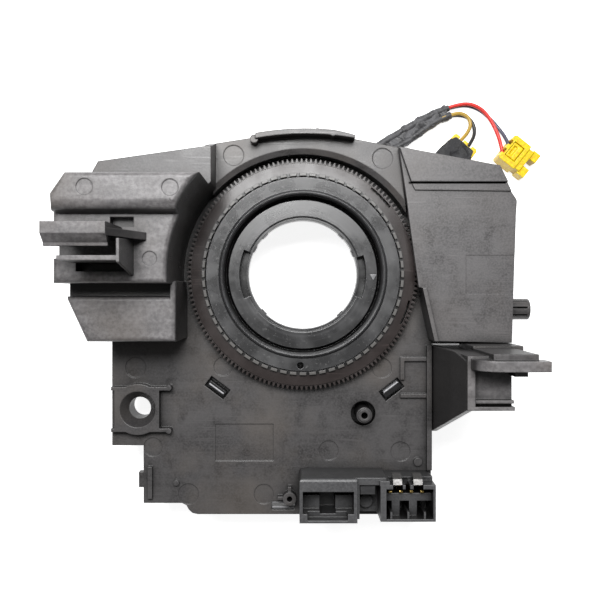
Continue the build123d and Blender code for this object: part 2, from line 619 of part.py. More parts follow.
def bracket_housing():
    """Main moulding: plates, bays, bosses and ribs in one piece."""
    low = PLATE_Z - PLATE
    plates, upper = plate_bodies()
    body = plates + upper + left_block()
    for hollow in left_cavities():
        body -= hollow
    body += channel_trays()
    for channel in left_channels():
        body -= channel
    body -= step_groove()
    body += left_rail() + right_bay() + side_peg() + mounting_boss() + top_bead()
    for part in small_bosses() + pinion_posts():
        body += part
    body = body + well_cup() - well_space() + well_pillar()
    body -= post(0, 0, CASE_R + 0.1, SKIRT_Z - 5, low)
    body -= post(0, 0, COLLAR_R + RUN, low - 1, UPPER_Z + 20)
    body -= ring(COLLAR_R - 1, RECESS_R, PLATE_Z, UPPER_Z + 3)
    body -= mounting_bore()
    for cut in ejector_marks() + housing_windows() + [bare_panel()]:
        body -= cut
    body -= post(*SCREW, SCREW_BORE_R, PLATE_Z - SCREW_DEPTH, PLATE_Z + 5)
    body -= post(*WELL[:2], 1.3, PLATE_Z - 4, PLATE_Z + 7)
    return body - socket_seat()


# ---------------------------------------------------------------- sensor on the right
COVER = [
    (37.2, 48.9), (40.3, 28.5), (41.0, 22.4), (44.9, -5.2), (46.1, -5.5), (50.7, -26.1),
    (80.9, -26.8), (82.5, 22.7), (82.9, 28.5), (80.6, 32.0), (79.0, 35.5), (75.9, 41.7),
]


def sensor_cover():
    """Lid over the steering angle sensor, with a raised band, a groove and an edge strip."""
    lid = prism(COVER, PLATE_Z, COVER_Z)
    corner = lid.edges().filter_by(Axis.Z).sort_by_distance((82.9, 28.5, COVER_Z))[0]
    lid = fillet(corner, 2.4)
    hollow = upright(inset(COVER, WALL), PLATE_Z - 1, COVER_Z - 2.0)
    hollow += prism([(30, -4.0), (48.5, -4.0), (48.5, 27.0), (30, 27.0)], PLATE_Z - 1, COVER_Z - 2.0)
    lid -= hollow
    lid -= post(0, 0, RECESS_R + 0.4, PLATE_Z - 1, COVER_Z - 2.6)
    lid -= upright(offset(upper_outline(), 0.2), PLATE_Z - 1, UPPER_Z + 0.02)
    lid += prism([(37.2, 48.9), (41.8, 35.5), (79.0, 35.5), (75.9, 41.7)], COVER_Z - 1, COVER_Z + 1.6)
    lid += prism([(41.8, 35.5), (43.4, 32.4), (80.6, 32.0), (79.0, 35.5)], COVER_Z - 1, COVER_Z + 0.6)
    lid += prism([(46.1, -5.5), (47.6, -5.5), (52.2, -26.1), (50.7, -26.1)], COVER_Z - 1, COVER_Z + 1.5)
    lid -= block(41.0, 78.4, 34.8, 35.5, COVER_Z - 1.0, COVER_Z + 1)
    return lid - block(63.1, 84.0, -7.9, 7.2, COVER_Z - MARK / 2, COVER_Z + 1)


def sensor_gear(teeth, angle):
    """Small pinion that carries a sensing magnet."""
    module = 2 * (TIP_R - TOOTH / 2) / TEETH
    pitch_r = teeth * module / 2
    tip_r = pitch_r + TOOTH / 2 - 0.12
    wheel = gear_teeth(teeth, tip_r, TOOTH - 0.06, 0.1, GEAR_LOW, GEAR_LOW + 1.8, 1.65)
    wheel += ring(1.65, 3.6, PLATE_Z + SEAT, GEAR_LOW + 3.6)
    turn = angle + 180 + mesh_turn(teeth, angle)
    x, y = pinion_place(teeth, angle)
    return Pos(x, y, 0) * Rot(0, 0, turn) * wheel


def mesh_turn(teeth, angle):
    """Turn, in degrees, that puts a pinion's gap opposite the ring's nearest tooth."""
    ring_pitch = 360.0 / TEETH
    ahead = (angle / ring_pitch) % 1.0
    return (0.5 + ahead) * 360.0 / teeth


BOARD_X = polar(TIP_R + 12.0, 0)[0] - 0.5        # edge of the board beside the pinions
BOARD_Z = COVER_Z - 5.2


def sensor_board():
    """Circuit board beside the pinions."""
    return block(BOARD_X, 78.5, -22.0, 26.0, BOARD_Z, BOARD_Z + 1.6)


def sensor_chip():
    """Sensing chips under the board, one beside each pinion's magnet."""
    x0 = BOARD_X + 1.5
    return [block(x0, x0 + 4.0, y - 2, y + 2, BOARD_Z - 1.1, BOARD_Z) for y in (12.0, -3.0)]


# ---------------------------------------------------------------- socket housing
def control_socket():
    """Hollow of the control socket, stepped and notched for its plug."""
    x0, x1, y0, y1 = CONTROL
    cuts = [block(x0 + 1.2, x1 - 1.3, y1 - 4.0, y1 - 0.8, PLATE_Z + 2, SOCKET_Z + 1)]
    cuts.append(block(x0 + 1.2, x1 - 1.3, y0 + 3.4, y1 - 3.9, PLATE_Z + 9, SOCKET_Z + 1))
    cuts.append(block(x0 + 3.0, x1 - 3.6, y0 + 1.0, y1 - 4.5, PLATE_Z + 12, SOCKET_Z + 1))
    cuts.append(block(x0 + 7.8, x1 - 8.0, y0 + 2.4, y1 - 4.0, PLATE_Z + 2, SOCKET_Z + 1))
    return cuts


def airbag_socket():
    """Hollow of the airbag socket with slots for the clips and the lock."""
    x0, x1, y0, y1 = AIRBAG
    cuts = [block(x0 + 0.9, x1 - 0.9, y0 + 0.9, y1 - 0.9, PLATE_Z + 2, SOCKET_Z + 1)]
    for clip_x in CLIPS:
        cuts.append(block(clip_x - 1.9, clip_x + 1.9, y1 - 1.0, SOCKET_BACK + 1, CLIP_Z, SOCKET_Z + 1))
    cuts.append(block(38.9, 40.7, y1 - 1.0, y1 + 1.6, CLIP_Z - 1, SOCKET_Z + 1))
    return cuts


CLIPS = (36.0, 43.8)      # centre of each shorting clip along X
CLIP_Z = SOCKET_Z - 6     # seat of the shorting clips
LATCH_X = (CONTROL[1] + AIRBAG[0]) / 2 - 0.9


def socket_housing():
    """Black housing with the control socket, a latch bay and the airbag socket."""
    left = block(CONTROL[0], CONTROL[1], CONTROL[2], SOCKET_BACK, PLATE_Z, SOCKET_Z)
    back = left.edges().group_by(Axis.Y)[-1]
    left = fillet(back.filter_by(Axis.X).group_by(Axis.Z)[-1] + back.filter_by(Axis.Z)[:1], 1.6)
    middle = block(CONTROL[1] - 1, AIRBAG[0] + 1, -93.7, SOCKET_BACK, PLATE_Z, SOCKET_Z - 1.0)
    right = block(AIRBAG[0] - 1.5, AIRBAG[1], AIRBAG[2], SOCKET_BACK - 1, PLATE_Z, SOCKET_Z)
    x0, x1, y0 = AIRBAG[0] + 2.2, AIRBAG[1] + 1, AIRBAG[3] + 0.7
    right -= block(x0, x1, y0, SOCKET_BACK + 1, CLIP_Z - 0.5, SOCKET_Z + 1)
    body = left + middle + right
    body -= block(CONTROL[1] + 0.9, AIRBAG[0] - 1.3, -95.0, -80.8, PLATE_Z + 6, SOCKET_Z + 1)
    for cut in control_socket() + airbag_socket():
        body -= cut
    body += airbag_keys() + post(LATCH_X, -89.2, 2.6, PLATE_Z + 5, PLATE_Z + 7.2)
    x0, x1, y0, y1 = SEAT_HOLE
    return body + block(x0 + SEAT, x1 - SEAT, y0 + SEAT, y1 - SEAT, PLATE_Z - 3, PLATE_Z + 0.5)


def airbag_keys():
    """Floor step, key blocks and three ribs inside the airbag socket."""
    x0, x1, y0, y1 = AIRBAG
    keys = block(x0 + 0.8, x1 - 0.8, y1 - 6.6, y1 - 3.6, PLATE_Z + 1, SOCKET_Z - 4.5)
    for x in (34.3, 41.0):
        keys += block(x, x + 3.0, y0 + 0.8, y1 - 6.0, PLATE_Z + 1, SOCKET_Z - 4.5)
    for x in (33.6, 40.1, 46.4):
        keys += block(x - 0.4, x + 0.4, y0 + 0.8, y0 + 3.4, PLATE_Z + 1, SOCKET_Z - 1.0)
    return keys


def latch_clip():
    """Spring latch in the bay between the sockets."""
    x = LATCH_X
    clip = block(x - 2.8, x + 2.8, -84.6, -81.4, PLATE_Z + 6, SOCKET_Z - 2.2)
    clip -= block(x - 1.6, x + 1.6, -85.0, -83.2, PLATE_Z + 10, SOCKET_Z - 3.4)
    return clip


def airbag_pins():
    """Four gold pins of the airbag socket."""
    first = (AIRBAG[0] + AIRBAG[1]) / 2 - 1.5 * PIN_PITCH - 0.9
    return [
        block(first + n * PIN_PITCH - 0.7, first + n * PIN_PITCH + 0.7, PIN_Y - 0.4, PIN_Y + 0.4,
              PLATE_Z + 2, SOCKET_Z - 3)
        for n in range(4)
    ]


def control_pins():
    """Flat pins of the control socket."""
    return [block(x - 0.3, x + 0.3, -85.2, -84.4, PLATE_Z + 2, PLATE_Z + 6) for x in range(2, 19, 3)]


def shorting_clips():
    """Two bent spring strips that rest against the airbag pins."""
    outer = ((-77.2, 0.1), (-77.2, 2.2), (-78.6, 4.6), (-80.6, 5.4), (-81.6, 3.6), (-81.9, 0.1))
    inner = ((-81.4, 0.1), (-81.1, 3.4), (-80.4, 4.8), (-78.9, 4.1), (-77.7, 2.0), (-77.7, 0.1))
    strip = [(y, CLIP_Z + rise) for y, rise in outer + inner]
    return [side_prism(strip, x - 1.7, x + 1.7) for x in CLIPS]


# ---------------------------------------------------------------- harness
def corner_radii(points):
    """Largest tangent arc at each corner: 0.45 of the shorter run beside it."""
    vectors = [Vector(*p) for p in points]
    radii = []
    for before, here, after in zip(vectors, vectors[1:], vectors[2:]):
        shorter = min((here - before).length, (after - here).length)
        turn = math.radians((here - before).get_angle(after - here))
        radii.append(0.45 * shorter / math.tan(turn / 2))
    return radii


def cord(name, points, radius):
    """Round cord along straight runs joined by tangent arcs."""
    radii = corner_radii(points)
    path = FilletPolyline(*points, radius=radii)
    start = Plane(origin=path @ 0, z_dir=path % 0)
    tube = sweep(start * Circle(radius), path=path)
    smallest = min(radii) / (2 * radius)
    error = tube.volume / (math.pi * radius ** 2 * path.length) - 1
    print(f"{name}: length {path.length:.1f}, radii {[round(r, 1) for r in radii]}, "
          f"tightest {smallest:.1f} diameters, volume error {error:+.4f}")
    return tube


EXIT = polar(DISC_R + 5.6, GLAND_ANGLE)
ALONG = polar(1.0, GLAND_ANGLE)
ACROSS = polar(1.0, GLAND_ANGLE + 90)


def from_exit(forward, sideways, z):
    """Point measured from the gland's mouth."""
    x = EXIT[0] + forward * ALONG[0] + sideways * ACROSS[0]
    y = EXIT[1] + forward * ALONG[1] + sideways * ACROSS[1]
    return x, y, z


SLEEVE_Z = 1.7           # height of a sleeve that lies on the surface
WIRE_LIFT = 0.81         # offset of a sleeve's two wires, one above the other
HIGH = SLEEVE_Z + WIRE_LIFT
LOW = SLEEVE_Z - WIRE_LIFT

UPPER_SLEEVE = [
    from_exit(0, 1.7, 3.2), from_exit(5.8, 1.7, 3.2), (33.8, 57.8, 2.8), (39.8, 61.4, 2.3),
    (46.9, 65.6, 1.9), (53.9, 69.7, SLEEVE_Z), (60.1, 72.8, SLEEVE_Z), (64.8, 74.4, SLEEVE_Z),
]
LOWER_SLEEVE = [
    from_exit(0, -1.7, 3.2), from_exit(5.8, -1.7, 3.2), (37.6, 54.9, 2.8), (44.3, 58.2, 2.3),
    (50.4, 62.3, 1.9), (56.0, 66.4, SLEEVE_Z), (61.0, 69.7, SLEEVE_Z), (65.8, 71.2, SLEEVE_Z),
]
RED_WIRE = [
    (64.8, 74.4, HIGH), (68.5, 75.7, HIGH), (74.1, 76.2, 2.6), (79.2, 73.9, 2.6),
    (83.0, 69.4, 2.6), (85.6, 64.2, 2.9), (87.1, 58.9, 3.8), (87.92, 53.9, ENTRY_Z),
]
GREY_WIRE = [
    (64.8, 74.4, LOW), (68.4, 75.5, LOW), (73.8, 75.9, LOW), (79.4, 73.7, LOW),
    (84.0, 69.4, LOW), (87.4, 65.2, 1.4), (89.6, 61.2, 3.0), (90.68, 57.32, ENTRY_Z),
]
YELLOW_WIRE = [
    (57.0, 67.06, HIGH), (61.0, 69.7, HIGH), (65.8, 71.2, HIGH), (69.5, 72.15, HIGH),
    (73.3, 70.5, HIGH), (74.6, 66.8, HIGH), (72.9, 63.1, 3.0), (70.6, 60.6, 3.8),
    (68.6, 58.38, ENTRY_Z),
]
BLACK_WIRE = [
    (57.0, 67.06, LOW), (61.0, 69.7, LOW), (65.8, 71.2, LOW), (69.6, 71.6, LOW),
    (73.8, 70.6, LOW), (76.3, 67.2, LOW), (76.5, 63.0, 1.5), (74.6, 59.2, 3.2),
    (72.02, 55.62, ENTRY_Z),
]


def plug_frame(place):
    """Plane of a plug: X along its axis, Y across it, Z up from the surface."""
    x, y, direction = place
    return Pos(x, y, 0) * Rot(0, 0, direction)


def plug_body(place):
    """Squib plug: wide body with two latch arms and a raised lock rail."""
    half = PLUG_WIDTH / 2
    back = -PLUG_LENGTH / 2
    body = block(back, 1.5, -half, half, 0, PLUG_HEIGHT)
    body += block(1.0, 4.0, -half + 0.9, half - 0.9, 0.6, PLUG_HEIGHT - 0.6)
    for side in (-1, 1):
        y0, y1 = sorted((side * half, side * (half - 4.2)))
        body += block(3.5, PLUG_LENGTH / 2, y0, y1, 1.2, PLUG_HEIGHT - 1.2)
    body = chamfer(body.edges().filter_by(Axis.Z).group_by(Axis.X)[0], 0.8)
    body -= block(back + 1.8, back + 7, -3.6, 3.6, PLUG_HEIGHT - 1.4, PLUG_HEIGHT + 1)
    for y in (-WIRE_PITCH / 2, WIRE_PITCH / 2):
        slot = WIRE_R + SEAT
        body -= block(back - 1, back + WIRE_ENTRY, y - slot, y + slot, ENTRY_Z - slot, PLUG_HEIGHT + 1)
    return plug_frame(place) * body


def plug_lock(place):
    """Coloured locking slide in the back of a plug."""
    back = -PLUG_LENGTH / 2
    lock = block(back + 2.0, back + 6.8, -3.4, 3.4, PLUG_HEIGHT - 1.4, PLUG_HEIGHT - 0.2)
    lock -= block(back + 3.0, back + 4.4, -2.2, 2.2, PLUG_HEIGHT - 1.0, PLUG_HEIGHT + 1)
    return plug_frame(place) * lock


def plug_tape():
    """Black foam tape wrapped round the rear plug."""
    half = PLUG_WIDTH / 2
    wrap = block(-5.6, 6.2, -half - 1.1, half + 1.1, 0, PLUG_HEIGHT + 1.1)
    wrap -= block(-8, 9, -half - 0.1, half + 0.1, -1, PLUG_HEIGHT + 0.1)
    return plug_frame(REAR_PLUG) * wrap


# ---------------------------------------------------------------- write every piece
def all_pieces():
    """Name and geometry of each node."""
    return {
        "bracket_housing": bracket_housing(),
        "sensor_cover": sensor_cover(),
        "socket_housing": socket_housing(),
        "latch_clip": latch_clip(),
        "airbag_pins": airbag_pins(),
        "control_pins": control_pins(),
        "shorting_clips": shorting_clips(),
        "ribbon_case": ribbon_case(),
        "ribbon_cable": ribbon_cable(),
        "slip_sheet": slip_sheet(),
        "sensor_gear_upper": sensor_gear(*SENSOR_GEARS[0]),
        "sensor_gear_lower": sensor_gear(*SENSOR_GEARS[1]),
        "sensor_board": sensor_board(),
        "sensor_chips": sensor_chip(),
        "rotor_hub": rotor_hub(),
        "sensor_gear_ring": sensor_gear_ring(),
        "rotor_disc": rotor_disc(),
        "cable_gland": cable_gland(),
        "wheel_socket": wheel_socket(),
        "wheel_socket_pins": wheel_socket_pins(),
        "upper_sleeve": cord("upper_sleeve", UPPER_SLEEVE, SLEEVE_R),
        "lower_sleeve": cord("lower_sleeve", LOWER_SLEEVE, SLEEVE_R),
        "red_wire": cord("red_wire", RED_WIRE, WIRE_R),
        "grey_wire": cord("grey_wire", GREY_WIRE, WIRE_R),
        "yellow_wire": cord("yellow_wire", YELLOW_WIRE, WIRE_R),
        "black_wire": cord("black_wire", BLACK_WIRE, WIRE_R),
        "front_plug": plug_body(FRONT_PLUG),
        "front_plug_lock": plug_lock(FRONT_PLUG),
        "rear_plug": plug_body(REAR_PLUG),
        "rear_plug_lock": plug_lock(REAR_PLUG),
        "plug_tape": plug_tape(),
    }


def main():
    """Write each piece as a STEP file of its own."""
    os.makedirs("parts", exist_ok=True)
    for name, shape in all_pieces().items():
        solid = Compound(children=shape) if isinstance(shape, list) else shape
        export_step(solid, f"parts/{name}.step")


main()
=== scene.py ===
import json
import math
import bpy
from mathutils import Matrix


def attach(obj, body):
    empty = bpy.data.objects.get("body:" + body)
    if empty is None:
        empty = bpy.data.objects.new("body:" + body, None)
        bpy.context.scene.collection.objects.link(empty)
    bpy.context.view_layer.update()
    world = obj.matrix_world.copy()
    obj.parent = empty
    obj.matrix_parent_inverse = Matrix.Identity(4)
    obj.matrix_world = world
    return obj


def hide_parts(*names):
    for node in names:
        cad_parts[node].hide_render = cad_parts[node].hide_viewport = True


bl_info = {
    "name": "Steering Clock Spring",
    "version": (1, 0, 0),
    "blender": (4, 5, 0),
    "location": "View3D > Sidebar > Clock Spring",
    "description": "Steering clock spring with bracket, toothed rotor and airbag harness",
    "category": "Object",
}

import bmesh
import bpy
from bpy.props import FloatProperty, FloatVectorProperty, PointerProperty
from mathutils import Matrix, Vector, noise

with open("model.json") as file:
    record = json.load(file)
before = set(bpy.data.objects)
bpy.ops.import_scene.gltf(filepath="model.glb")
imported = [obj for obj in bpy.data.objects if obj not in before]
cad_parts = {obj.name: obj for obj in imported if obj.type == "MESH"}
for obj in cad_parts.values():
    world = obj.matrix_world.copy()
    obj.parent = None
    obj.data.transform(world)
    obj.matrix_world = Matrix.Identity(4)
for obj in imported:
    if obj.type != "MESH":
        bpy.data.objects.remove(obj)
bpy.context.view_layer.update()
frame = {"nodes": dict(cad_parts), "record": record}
MM = 0.001
SHARP = math.radians(28)            # edges that turn by more than this stay sharp
FLAT = math.radians(0.6)            # faces that turn by less than this become one
DOUBLES = 2e-6                      # corners closer than this are the same
PLATE_Z = 27.0 * MM                 # face of the lower plate
FLANGE_Z = PLATE_Z + 6.0 * MM       # face of the hub flange
LUG_TOP = FLANGE_Z + 0.4 * MM       # top of the ring's lugs
GROOVE_IN = 38.5 * MM               # radii of the band the lugs stand in, painted dark as a painted shade
GROOVE_OUT = 40.0 * MM
LEDGE_Z = PLATE_Z + 37.0 * MM       # floor of the left switch bay
RIDGE_Z = LEDGE_Z + 11.0 * MM       # top of the ridge above it
BAY_LOW = PLATE_Z + 24.0 * MM       # heights between which the raised bays are painted paler, a painted sheen
BAY_HIGH = PLATE_Z + 26.0 * MM
DEEP_SHADE = (0.004, 0.004, 0.004)
GROOVE_SHADE = (0.006, 0.006, 0.006)
# painted highlight on the tops of the lugs
LUG_HIGHLIGHT = (0.12, 0.115, 0.11)
DUST_BROWN = (0.135, 0.115, 0.098)
DUST_GREY = (0.16, 0.16, 0.155)
WHITE = (1, 1, 1, 1)


# ---------------------------------------------------------------- settings
def colour_setting(name, description, default):
    """Linear colour that a user can change."""
    return FloatVectorProperty(
        name=name, description=description, subtype="COLOR", size=3, min=0, max=1, default=default
    )


def length_setting(name, description, default):
    """Length in metres that a user can change."""
    return FloatProperty(
        name=name, description=description, default=default, min=0, unit="LENGTH", precision=5
    )


class ClockSpringColours(bpy.types.PropertyGroup):
    """Colours of the mouldings, metals and wires."""

    housing: colour_setting("Housing", "Filled nylon of the bracket", (0.046, 0.044, 0.0445))
    cover: colour_setting("Cover", "Sensor cover", (0.072, 0.069, 0.070))
    socket: colour_setting("Sockets", "Socket housing", (0.060, 0.060, 0.062))
    hub: colour_setting("Hub", "Glossy rotor hub", (0.026, 0.026, 0.027))
    gear: colour_setting("Gear ring", "Acetal of the toothed ring", (0.028, 0.022, 0.021))
    drum: colour_setting("Drum", "Ribbon case and rotor disc", (0.026, 0.026, 0.027))
    plug: colour_setting("Plugs", "Airbag plugs", (0.78, 0.43, 0.004))
    red: colour_setting("Red wire", "Insulation", (0.70, 0.030, 0.022))
    grey: colour_setting("Grey wire", "Insulation", (0.07, 0.07, 0.11))
    yellow: colour_setting("Yellow wire", "Insulation", (0.46, 0.30, 0.045))
    black: colour_setting("Black wire", "Insulation", (0.018, 0.018, 0.018))


class ClockSpringSizes(bpy.types.PropertyGroup):
    """Sizes that finish the pieces."""

    plug_edge: length_setting("Plug edge radius", "Rounding of the plugs' edges", 0.6 * MM)
    fine_edge: length_setting("Fine edge radius", "Rounding of small moulded edges", 0.12 * MM)
    wire: length_setting("Wire diameter", "Over the insulation", 1.6 * MM)
    sleeve: length_setting("Sleeve diameter", "Over the harness tape", 3.24 * MM)


class ClockSpringStage(bpy.types.PropertyGroup):
    """Camera and light."""

    camera_height: length_setting("Camera height", "Above the surface", 0.293)
    lens: FloatProperty(name="Lens", description="Focal length", default=40.23, unit="CAMERA")
    key: FloatProperty(name="Key light", description="Its power", default=2.9, unit="POWER")
    window: FloatProperty(name="Window light", description="Its power", default=0.5, unit="POWER")
    world: FloatProperty(
        name="Surroundings", description="Strength of the light from all round", default=0.12,
        min=0, subtype="FACTOR",
    )


# ---------------------------------------------------------------- materials
class Finish:
    """Node material on Object coordinates, built up layer by layer."""

    def __init__(self, name, colour, roughness):
        self.material = bpy.data.materials.new(name)
        self.material.use_nodes = True
        self.material.diffuse_color = (*colour, 1.0)
        self.tree = self.material.node_tree
        self.shader = self.tree.nodes["Principled BSDF"]
        self.place = self.add("ShaderNodeTexCoord").outputs["Object"]
        self.colour = self.add("ShaderNodeRGB").outputs["Color"]
        self.colour.default_value = (*colour, 1.0)
        self.roughness = roughness
        self.normal = None
        self.shader.inputs["Roughness"].default_value = roughness

    def add(self, kind, settings=None, **inputs):
        """Node with its settings and inputs; an input may be another node's output."""
        node = self.tree.nodes.new(kind)
        for key, value in (settings or {}).items():
            setattr(node, key, value)
        for key, value in inputs.items():
            self.join(node.inputs[key.replace("_", " ")], value)
        return node

    def join(self, socket, value):
        """Links an output to a socket, or sets the socket's own value."""
        if isinstance(value, bpy.types.NodeSocket):
            self.tree.links.new(value, socket)
        else:
            socket.default_value = value

    def maths(self, operation, first, second=0.0):
        """Result of one Math node."""
        node = self.add("ShaderNodeMath", {"operation": operation})
        self.join(node.inputs[0], first)
        self.join(node.inputs[1], second)
        return node.outputs[0]

    def spread(self, value, low, high, start=0.0, end=1.0):
        """Value mapped from one range to another and clamped."""
        limits = {"From_Min": low, "From_Max": high, "To_Min": start, "To_Max": end}
        return self.add("ShaderNodeMapRange", Value=value, **limits).outputs["Result"]

    def grain(self, size, detail=3.0, stretch=(1, 1, 1), turn=0.0):
        """Noise whose features are about size metres wide."""
        rotation = (0, 0, turn)
        spot = self.add("ShaderNodeMapping", Vector=self.place, Scale=stretch, Rotation=rotation)
        return self.cloud(spot.outputs[0], 1 / size, detail)

    def cloud(self, spot, scale, detail):
        """Noise read at a spot."""
        node = self.add("ShaderNodeTexNoise", Vector=spot, Scale=scale, Detail=detail)
        return node.outputs["Fac"]

    def tint(self, mask, colour, strength=1.0):
        """Blends another colour in where the mask is high."""
        node = self.add("ShaderNodeMix", {"data_type": "RGBA", "clamp_factor": True})
        self.join(node.inputs[0], self.maths("MULTIPLY", mask, strength))
        self.join(node.inputs[6], self.colour)
        self.join(node.inputs[7], (*colour, 1.0))
        self.colour = node.outputs[2]

    def vary_roughness(self, mask, amount):
        """Roughness raised by the mask, or lowered by a negative amount."""
        step = self.maths("MULTIPLY", mask, amount)
        self.roughness = self.maths("ADD", self.roughness, step)

    def relief(self, height, depth, strength=1.0):
        """Bump of a real depth in metres on top of what is there."""
        node = self.add("ShaderNodeBump", Height=height, Strength=strength, Distance=depth)
        if self.normal is not None:
            self.join(node.inputs["Normal"], self.normal)
        self.normal = node.outputs["Normal"]

    def scratches(self):
        """Mask of fine crossing lines, broken into patches."""
        patches = self.spread(self.grain(0.012, 3.0), 0.48, 0.62)
        lines = 0.0
        for turn in (0.35, 1.25, 2.3):
            run = self.grain(0.0022, 2.0, (0.06, 3.0, 1), turn)
            lines = self.maths("MAXIMUM", lines, self.spread(run, 0.63, 0.70))
        return self.maths("MULTIPLY", lines, patches)

    def polar(self):
        """Distance from the rotor axis and height, in metres."""
        split = self.add("ShaderNodeSeparateXYZ", Vector=self.place)
        x, y, z = split.outputs
        squares = self.maths("ADD", self.maths("MULTIPLY", x, x), self.maths("MULTIPLY", y, y))
        return self.maths("SQRT", squares), z

    def band(self, value, low, high, soft=0.0001):
        """Mask that is high between two values."""
        above = self.spread(value, low - soft, low + soft)
        below = self.spread(value, high - soft, high + soft, 1.0, 0.0)
        return self.maths("MULTIPLY", above, below)

    def paint_crevice_shade(self, reach, depth=0.85):
        """Paints shade into the colour where the surface is hemmed in within a reach."""
        open_sky = self.add("ShaderNodeAmbientOcclusion", {"samples": 6}, Distance=reach)
        crevice_shade = self.spread(open_sky.outputs["AO"], 0.30, 0.95, depth, 0.0)
        self.tint(crevice_shade, DEEP_SHADE)

    def walls(self):
        """Mask that is high on upright faces."""
        facing = self.add("ShaderNodeTexCoord").outputs["Normal"]
        upward = self.add("ShaderNodeSeparateXYZ", Vector=facing).outputs[2]
        return self.spread(upward, 0.30, 0.75, 1.0, 0.0)

    def round_edges(self, radius):
        """Normal that turns smoothly over each sharp edge."""
        self.normal = self.add("ShaderNodeBevel", {"samples": 6}, Radius=radius).outputs[0]

    def edges(self, radius):
        """Mask that is high within a radius of an edge."""
        bevel = self.add("ShaderNodeBevel", {"samples": 4}, Radius=radius)
        flat = self.add("ShaderNodeNewGeometry").outputs["Normal"]
        dot = self.add("ShaderNodeVectorMath", {"operation": "DOT_PRODUCT"})
        self.join(dot.inputs[0], bevel.outputs[0])
        self.join(dot.inputs[1], flat)
        return self.spread(dot.outputs["Value"], 0.995, 0.82)

    def done(self, **sockets):
        """Connects the layers and sets constants on the shader's own sockets."""
        self.join(self.shader.inputs["Base Color"], self.colour)
        self.join(self.shader.inputs["Roughness"], self.roughness)
        if self.normal is not None:
            self.join(self.shader.inputs["Normal"], self.normal)
        for key, value in sockets.items():
            self.shader.inputs[key.replace("_", " ")].default_value = value
        return self.material


def scaled(colour, factor):
    """Colour made lighter or darker."""
    return tuple(min(1.0, part * factor) for part in colour)


def dust_sheen_and_wall_shade(finish, colour, dust):
    """Tops of the raised bays painted paler as a painted sheen, upright walls painted darker as
    painted shade, and dust settled on the flats.
    """
    raised = finish.spread(finish.polar()[1], BAY_LOW, BAY_HIGH)
    flecks = finish.spread(finish.grain(0.0014, 5.0), 0.38, 0.62, 0.5, 1.0)
    sheen_streaks = finish.spread(finish.grain(0.007, 5.0, (0.5, 2.0, 1), 0.05), 0.40, 0.60, 0.6, 1.0)
    uneven = finish.maths("MULTIPLY", flecks, sheen_streaks)
    # painted sheen: the raised tops painted paler, broken up by noise
    finish.tint(finish.maths("MULTIPLY", raised, uneven), scaled(colour, 4.4))
    walls = finish.walls()
    # painted shade: upright walls painted darker
    finish.tint(walls, scaled(colour, 0.4), 0.9)
    settled = finish.spread(finish.grain(0.028, 6.0, (1, 1, 1), 2.0), 0.46, 0.66)
    flats = finish.maths("SUBTRACT", 1.0, walls)
    finish.tint(finish.maths("MULTIPLY", settled, flats), DUST_BROWN, dust)


def moulded_plastic(
    name, colour, roughness=0.36, spark=0.0005, wear=0.5, dust=0.0, shade_depth=0.85,
    shade_reach=0.006,
):
    """Moulded plastic: spark texture, flow marks, scuffs, painted highlights on the edges and
    painted shade in crevices; with dust, also dust on the flats, painted sheen on the raised tops
    and painted shade on the walls.
    """
    finish = Finish(name, colour, roughness)
    finish.round_edges(0.0006)
    cloud = finish.spread(finish.grain(0.016, 6.0, (1, 1.5, 1), 0.5), 0.36, 0.66)
    finish.tint(cloud, scaled(colour, 1.7), wear)
    shade = finish.spread(finish.grain(0.009, 5.0, (1.4, 1, 1), 1.1), 0.50, 0.72)
    finish.tint(shade, scaled(colour, 0.45), wear)
    flow = finish.spread(finish.grain(0.010, 4.0, (0.25, 5.0, 1), 0.12), 0.50, 0.74)
    finish.tint(flow, scaled(colour, 1.9), wear * 0.55)
    scuffs = finish.scratches()
    finish.tint(scuffs, scaled(colour, 3.2), wear * 0.6)
    speckle = finish.spread(finish.grain(spark * 1.4, 3.0), 0.35, 0.68)
    finish.tint(speckle, scaled(colour, 1.9), 0.8)
    # with dust come the dust on the flats, the painted sheen on raised tops and the painted shade
    # on walls
    if dust > 0:
        dust_sheen_and_wall_shade(finish, colour, dust)
    # painted highlight: edges painted lighter
    finish.tint(finish.edges(0.0006), scaled(colour, 2.8), 0.5)
    # painted shade in crevices
    finish.paint_crevice_shade(shade_reach, shade_depth)
    finish.vary_roughness(cloud, 0.08)
    finish.vary_roughness(shade, -0.08)
    finish.vary_roughness(scuffs, -0.12)
    finish.relief(finish.grain(spark, 2.0), 0.00003)
    return finish.done(Specular_IOR_Level=0.5, IOR=1.5)


def turned_gloss(name, colour):
    """Glossy turned moulding, with fine rings about the rotor axis, faint smears whose lighter
    colour is a painted highlight, broad rings painted lighter as painted reflection streaks, dust
    specks, painted edge highlights and painted crevice shade.
    """
    finish = Finish(name, colour, 0.24)
    finish.round_edges(0.0003)
    radius, z = finish.polar()
    ring = finish.add("ShaderNodeCombineXYZ", X=radius, Y=z).outputs[0]
    fine, ring_highlight = finish.cloud(ring, 2600.0, 2.0), finish.cloud(ring, 700.0, 3.0)
    smear_and_highlight = finish.spread(finish.grain(0.009, 5.0, (1, 1, 1), 0.2), 0.42, 0.72)
    dust = finish.spread(finish.grain(0.0009, 3.0), 0.62, 0.78)
    # painted highlight: smears painted lighter; they also raise the roughness
    finish.tint(smear_and_highlight, scaled(colour, 2.0), 0.5)
    # painted reflection: broad rings about the axis painted lighter as gloss streaks
    finish.tint(finish.spread(ring_highlight, 0.52, 0.68), scaled(colour, 3.0), 0.6)
    finish.tint(dust, DUST_GREY, 0.35)
    # painted highlight: edges painted lighter
    finish.tint(finish.edges(0.0004), scaled(colour, 7.0), 0.6)
    # painted shade in crevices
    finish.paint_crevice_shade(0.007, 0.95)
    finish.vary_roughness(smear_and_highlight, 0.16)
    finish.vary_roughness(dust, 0.2)
    finish.relief(fine, 0.000006, 0.6)
    return finish.done(Specular_IOR_Level=0.8, IOR=1.5)


